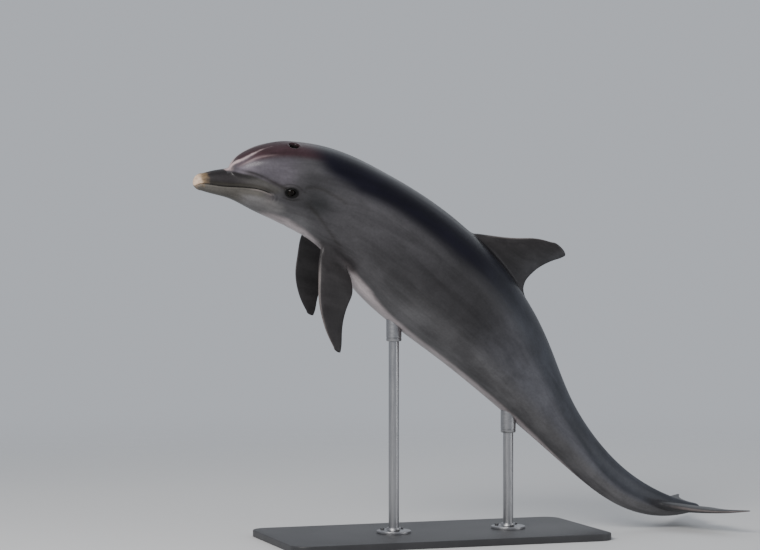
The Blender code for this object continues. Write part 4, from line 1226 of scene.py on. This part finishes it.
# ---------------------------------------------------------------- eyes
EYE_SIDES, EYE_RINGS = 48, 32
EYE_SHY = 0.0003                  # how much smaller than the plain eye
CORNEA_RISE, CORNEA_ENDS = 0.0007, (0.80, 0.98)


def circle_ring(centre, radius, height, sides):
    """A ring round an upright axis; the radius may differ from place to place."""
    turns = 2 * np.pi * np.arange(sides) / sides
    return [(centre[0] + r * np.cos(t), centre[1] + r * np.sin(t), height)
            for r, t in zip(np.broadcast_to(radius, sides), turns)]


def make_eye(name, sign):
    """A dark eyeball with a slightly raised front."""
    surface = skin_point(EYE_X, sign * np.radians(EYE_TURN))
    centre = bend(surface - [0, sign * (EYE_RADIUS - EYE_PROUD), 0])
    axis = Vector(unit(bend(surface + [0, sign * 0.05, 0]) - centre))
    radius = EYE_RADIUS - EYE_SHY
    bm = bmesh.new()
    layer = bm.loops.layers.uv.new("OFBake")
    rings = []
    for cos in np.cos(np.pi * np.arange(1, EYE_RINGS) / EYE_RINGS):
        height = radius * cos + CORNEA_RISE * ease(*CORNEA_ENDS, cos)
        ring = circle_ring((0, 0), radius * np.sqrt(1 - cos**2), height, EYE_SIDES)
        rings.append([bm.verts.new(place) for place in ring])
    for upper, lower in zip(rings, rings[1:]):
        wall(bm, lower, upper)
    fan(bm, rings[0], (0, 0, radius + CORNEA_RISE))
    fan(bm, rings[-1][::-1], (0, 0, -radius))
    for face in bm.faces:
        middle = 0.25 if face.calc_center_median().z > 0 else 0.75
        for loop in face.loops:
            spot = loop.vert.co.normalized()
            half = 0.9 * (0.25 * (1 - abs(spot.z)) + 0.01)
            flat = Vector((spot.x, spot.y)).normalized() if abs(spot.z) < 0.9999 else Vector((0, 0))
            loop[layer].uv = (middle + flat.x * half, 0.5 + flat.y * half)
    turned = Vector((0, 0, 1)).rotation_difference(axis).to_matrix().to_4x4()
    bmesh.ops.transform(bm, matrix=turned, verts=bm.verts)
    bmesh.ops.translate(bm, verts=bm.verts, vec=Vector(centre))
    return make_object(name, bm)


# ---------------------------------------------------------------- the stand
PLATE_ROUND, PLATE_CORNER_STEPS, PLATE_EDGE_STEPS = 0.060, 24, 6
PLATE_EDGE, PLATE_FOOT = 0.004, 0.0012   # radius of its upper edge, and its lower chamfer
TURNED_SIDES = 96
SCREW_SIDES, SCREW_HEAD, SCREW_SHANK = 48, 0.006, 0.53   # the shank as a share of the head
HEX_HALF, HEX_DEEP = 0.0030, 0.0035      # the recess in its head
HUB_WALL = 0.007                  # the foot's hub, round the post
GROOVE_DEEP = 0.0012              # the groove round a collar


def node_box(node):
    """The lowest and highest corners of a node, in the world."""
    corners = np.array([node.matrix_world @ Vector(corner) for corner in node.bound_box])
    return corners.min(axis=0), corners.max(axis=0)


def close_rings(name, rings, sharp):
    """A piece made of rings of places, its first and last rings closed by flat faces."""
    bm = bmesh.new()
    layer = bm.loops.layers.uv.new("OFBake")
    rows = [[bm.verts.new(place) for place in ring] for ring in rings]
    count = len(rings[0])
    for level in range(len(rows) - 1):
        for k in range(count):
            corners = ((k, level), (k + 1, level), (k + 1, level + 1), (k, level + 1))
            face = bm.faces.new([rows[v][u % count] for u, v in corners])
            for loop, (u, v) in zip(face.loops, corners):
                loop[layer].uv = (0.01 + 0.98 * u / count, 0.51 + 0.48 * v / (len(rows) - 1))
    places = np.array(rings).reshape(-1, 3)
    middle, size = places.mean(axis=0), np.ptp(places, axis=0).max() * 2.1
    for row, centre in ((rows[0][::-1], 0.25), (rows[-1], 0.75)):
        for loop in bm.faces.new(row).loops:
            off = (np.array(loop.vert.co) - middle) / size
            loop[layer].uv = (centre + off[0], 0.25 + off[1])
    bmesh.ops.recalc_face_normals(bm, faces=bm.faces)
    return make_object(name, bm, sharp)


def rounded(radius, height, edge, steps=5):
    """Profile corners of a rounded outer edge that ends a wall of that radius at that height."""
    turns = np.linspace(0, np.pi / 2, steps)
    return [(radius - edge + edge * np.cos(t), height - edge + edge * np.sin(t)) for t in turns]


def make_turned(name, centre, profile, sides=TURNED_SIDES, sharp=30.0):
    """A piece turned round an upright axis. profile: radius, height."""
    return close_rings(name, [circle_ring(centre, r, z, sides) for r, z in profile], sharp)


def make_plate(node):
    """The base: a thick plate with round corners and a soft upper edge."""
    low, high = node_box(node)
    middle, half = (low + high) / 2, (high - low) / 2 - PLATE_ROUND
    profile = [(PLATE_ROUND - PLATE_FOOT, low[2]), (PLATE_ROUND, low[2] + PLATE_FOOT)]
    profile += rounded(PLATE_ROUND, high[2], PLATE_EDGE, PLATE_EDGE_STEPS)
    rings = []
    for reach, height in profile:
        ring = []
        for sx, sy, first in ((1, 1, 0), (-1, 1, 90), (-1, -1, 180), (1, -1, 270)):
            for t in np.radians(first + np.linspace(0, 90, PLATE_CORNER_STEPS)):
                ring.append((middle[0] + sx * half[0] + reach * np.cos(t),
                             middle[1] + sy * half[1] + reach * np.sin(t), height))
        rings.append(ring)
    return close_rings("base_plate", rings, 40.0)


def make_screw(name, node):
    """A socket screw's head, with a chamfered rim and a hexagonal recess, on its shank."""
    low, high = node_box(node)
    radius, top = (high[0] - low[0]) / 2, high[2]
    turns = 2 * np.pi * np.arange(SCREW_SIDES) / SCREW_SIDES
    hexed = HEX_HALF / np.cos((turns % (np.pi / 3)) - np.pi / 6)
    profile = [(radius * 0.5, low[2] + 0.001), (radius * SCREW_SHANK, low[2] + 0.002),
               (radius * SCREW_SHANK, top - SCREW_HEAD), (radius - 0.0003, top - SCREW_HEAD),
               *rounded(radius, top, 0.0010),
               (hexed + 0.0004, top), (hexed, top - 0.0004), (hexed, top - HEX_DEEP),
               (HEX_HALF * 0.2, top - HEX_DEEP - 0.0006)]
    return make_turned(name, (low + high) / 2, profile, SCREW_SIDES, 35.0)


def foot_profile(rod, foot, low, high):
    """A flange with a soft rim and a hub round the post."""
    hub = rod + HUB_WALL
    return [(foot - 0.0006, low), (foot, low + 0.0006), *rounded(foot, high - 0.001, 0.002),
            (hub + 0.006, high - 0.0002), (hub + 0.002, high + 0.0010), (hub + 0.0004, high + 0.0035),
            *rounded(hub, high + 0.009, 0.0015), (rod + 0.0003, high + 0.009), (rod + 0.0003, high + 0.004)]


def collar_profile(rod, cup, low, high):
    """A cup under the belly, with a groove turned round it."""
    return [(rod + 0.0004, low + 0.004), (rod + 0.0004, low), (cup - 0.0030, low),
            (cup - GROOVE_DEEP, low + 0.0008), (cup, low + 0.003), (cup, low + 0.010),
            (cup - GROOVE_DEEP, low + 0.0112), (cup - GROOVE_DEEP, low + 0.0130), (cup, low + 0.0142),
            (cup, high - 0.004), (cup - 0.002, high - 0.001)]


def make_stand(nodes, finishes):
    """The refined plate, posts, feet, collars and screws, each in place of its plain node."""
    plate, upright, turned, screw = finishes
    pieces = [(make_plate(nodes["stand_base"]), "stand_base", plate, "stand_plate")]
    for side in ("front", "rear"):
        boxes = [node_box(nodes["stand_" + part + "_" + side]) for part in ("rod", "flange", "cup")]
        rod, foot, cup = ((high[0] - low[0]) / 2 for low, high in boxes)
        rod_ends, foot_ends, cup_ends = ((low[2], high[2]) for low, high in boxes)
        profiles = {
            "post": ("rod", [(rod, rod_ends[0] + 0.0005), (rod, cup_ends[0] + 0.02)], upright),
            "foot": ("flange", foot_profile(rod, foot, *foot_ends), turned),
            "collar": ("cup", collar_profile(rod, cup, *cup_ends), turned),
        }
        centre = (boxes[0][0] + boxes[0][1]) / 2
        for name, (part, profile, finish) in profiles.items():
            piece = make_turned(name + "_" + side, centre, profile)
            pieces.append((piece, "stand_" + part + "_" + side, finish, "stand_steel"))
        for number in "123":
            name = "screw_" + side + "_" + number
            pieces.append((make_screw(name, nodes["stand_" + name]), "stand_" + name, screw, "stand_screw"))
    for piece, name, finish, slot in pieces:
        piece.data.materials.append(finish)
        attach(piece, "root")
        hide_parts(name)


# ---------------------------------------------------------------- the stage
VIEW_TURN = -20.0                 # degrees round from straight ahead of the dolphin's left side
VIEW_FAR, VIEW_HEIGHT = 9.0, 1.117
VIEW_LENS, VIEW_SENSOR = 118.5, 36.0
VIEW_DIP, VIEW_ASIDE = 1.076, 4.273   # degrees below level, and from the snout tip to the middle
FLOOR_HALF, FLOOR_FADE = 9.0, (1.8, 7.5)   # the floor fades out between these distances
SKY, SKY_STRENGTH = (0.84, 0.88, 0.95, 1), 0.58
LIGHTS_AIM = (0, 0, 0.8)
LIGHTS = {                        # place, size, power, colour
    "key": ((-4.2, -3.6, 4.4), 3.0, 430, (1.0, 0.98, 0.95)),
    "over": ((2.6, 3.2, 4.2), 4.5, 40, (0.90, 0.95, 1.0)),
    "fill": ((4.5, -3.5, 1.6), 3.0, 60, (1, 1, 1)),
}


def make_camera():
    camera = bpy.data.objects.new("camera", bpy.data.cameras.new("camera"))
    bpy.context.scene.collection.objects.link(camera)
    camera.data.lens, camera.data.sensor_width = VIEW_LENS, VIEW_SENSOR
    camera.data.clip_end = 60
    turn = np.radians(VIEW_TURN)
    spot = spine_frame(1.0)[0] + VIEW_FAR * np.array([np.sin(turn), -np.cos(turn), 0.0])
    spot[2] = VIEW_HEIGHT
    way = np.array(SNOUT_AT) - spot
    heading = np.arctan2(-way[0], way[1]) - np.radians(VIEW_ASIDE)
    camera.location = spot
    camera.rotation_euler = (np.radians(90 - VIEW_DIP), 0, heading)
    bpy.context.scene.camera = camera


def make_stage():
    bm = bmesh.new()
    bmesh.ops.create_grid(bm, x_segments=2, y_segments=2, size=FLOOR_HALF)
    floor = make_object("floor", bm)
    floor.data.materials.append(floor_material())
    world = bpy.data.worlds.new("studio")
    bpy.context.scene.world = world
    world.use_nodes = True
    background = world.node_tree.nodes["Background"]
    background.inputs["Color"].default_value = SKY
    background.inputs["Strength"].default_value = SKY_STRENGTH
    for name, (place, size, power, colour) in LIGHTS.items():
        data = bpy.data.lights.new(name, "AREA")
        data.shape, data.size, data.energy, data.color = "DISK", size, power, colour
        light = bpy.data.objects.new(name, data)
        light.location = place
        light.rotation_euler = (Vector(LIGHTS_AIM) - Vector(place)).to_track_quat("-Z", "Y").to_euler()
        bpy.context.scene.collection.objects.link(light)


# ---------------------------------------------------------------- the whole
FLESH = ("beak_upper", "jaw_lower", "melon", "head", "neck", "chest", "abdomen", "loin", "tail_stock",
         "tail_end", "dorsal_fin", "flipper_left", "flipper_right", "fluke_left", "fluke_right")
# Steel. name: how far its grain is stretched, its darker and lighter colours, roughness
STEELS = {
    "brushed_steel": ((900.0, 900.0, 14.0), (0.30, 0.30, 0.31), (0.42, 0.42, 0.43), 0.24),
    "turned_steel": ((60.0, 60.0, 900.0), (0.26, 0.26, 0.27), (0.36, 0.36, 0.37), 0.28),
    "black_screw_steel": ((300.0, 300.0, 300.0), (0.10, 0.10, 0.105), (0.16, 0.16, 0.165), 0.30),
}


def main():
    mottle = mottle_group()
    skin = make_skin(make_fins())
    skin.data.materials.append(skin_material(mottle))
    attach(skin, "root")
    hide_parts(*FLESH)
    gloss = eye_material(mottle)
    for side, sign in (("left", -1), ("right", 1)):
        eye = make_eye("eyeball_" + side, sign)
        eye.data.materials.append(gloss)
        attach(eye, "root")
        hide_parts("eye_" + side)
    finishes = [plate_material(mottle)]
    finishes += [steel_material(mottle, name, *look) for name, look in STEELS.items()]
    make_stand(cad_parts, finishes)
    make_stage()
    make_camera()


main()
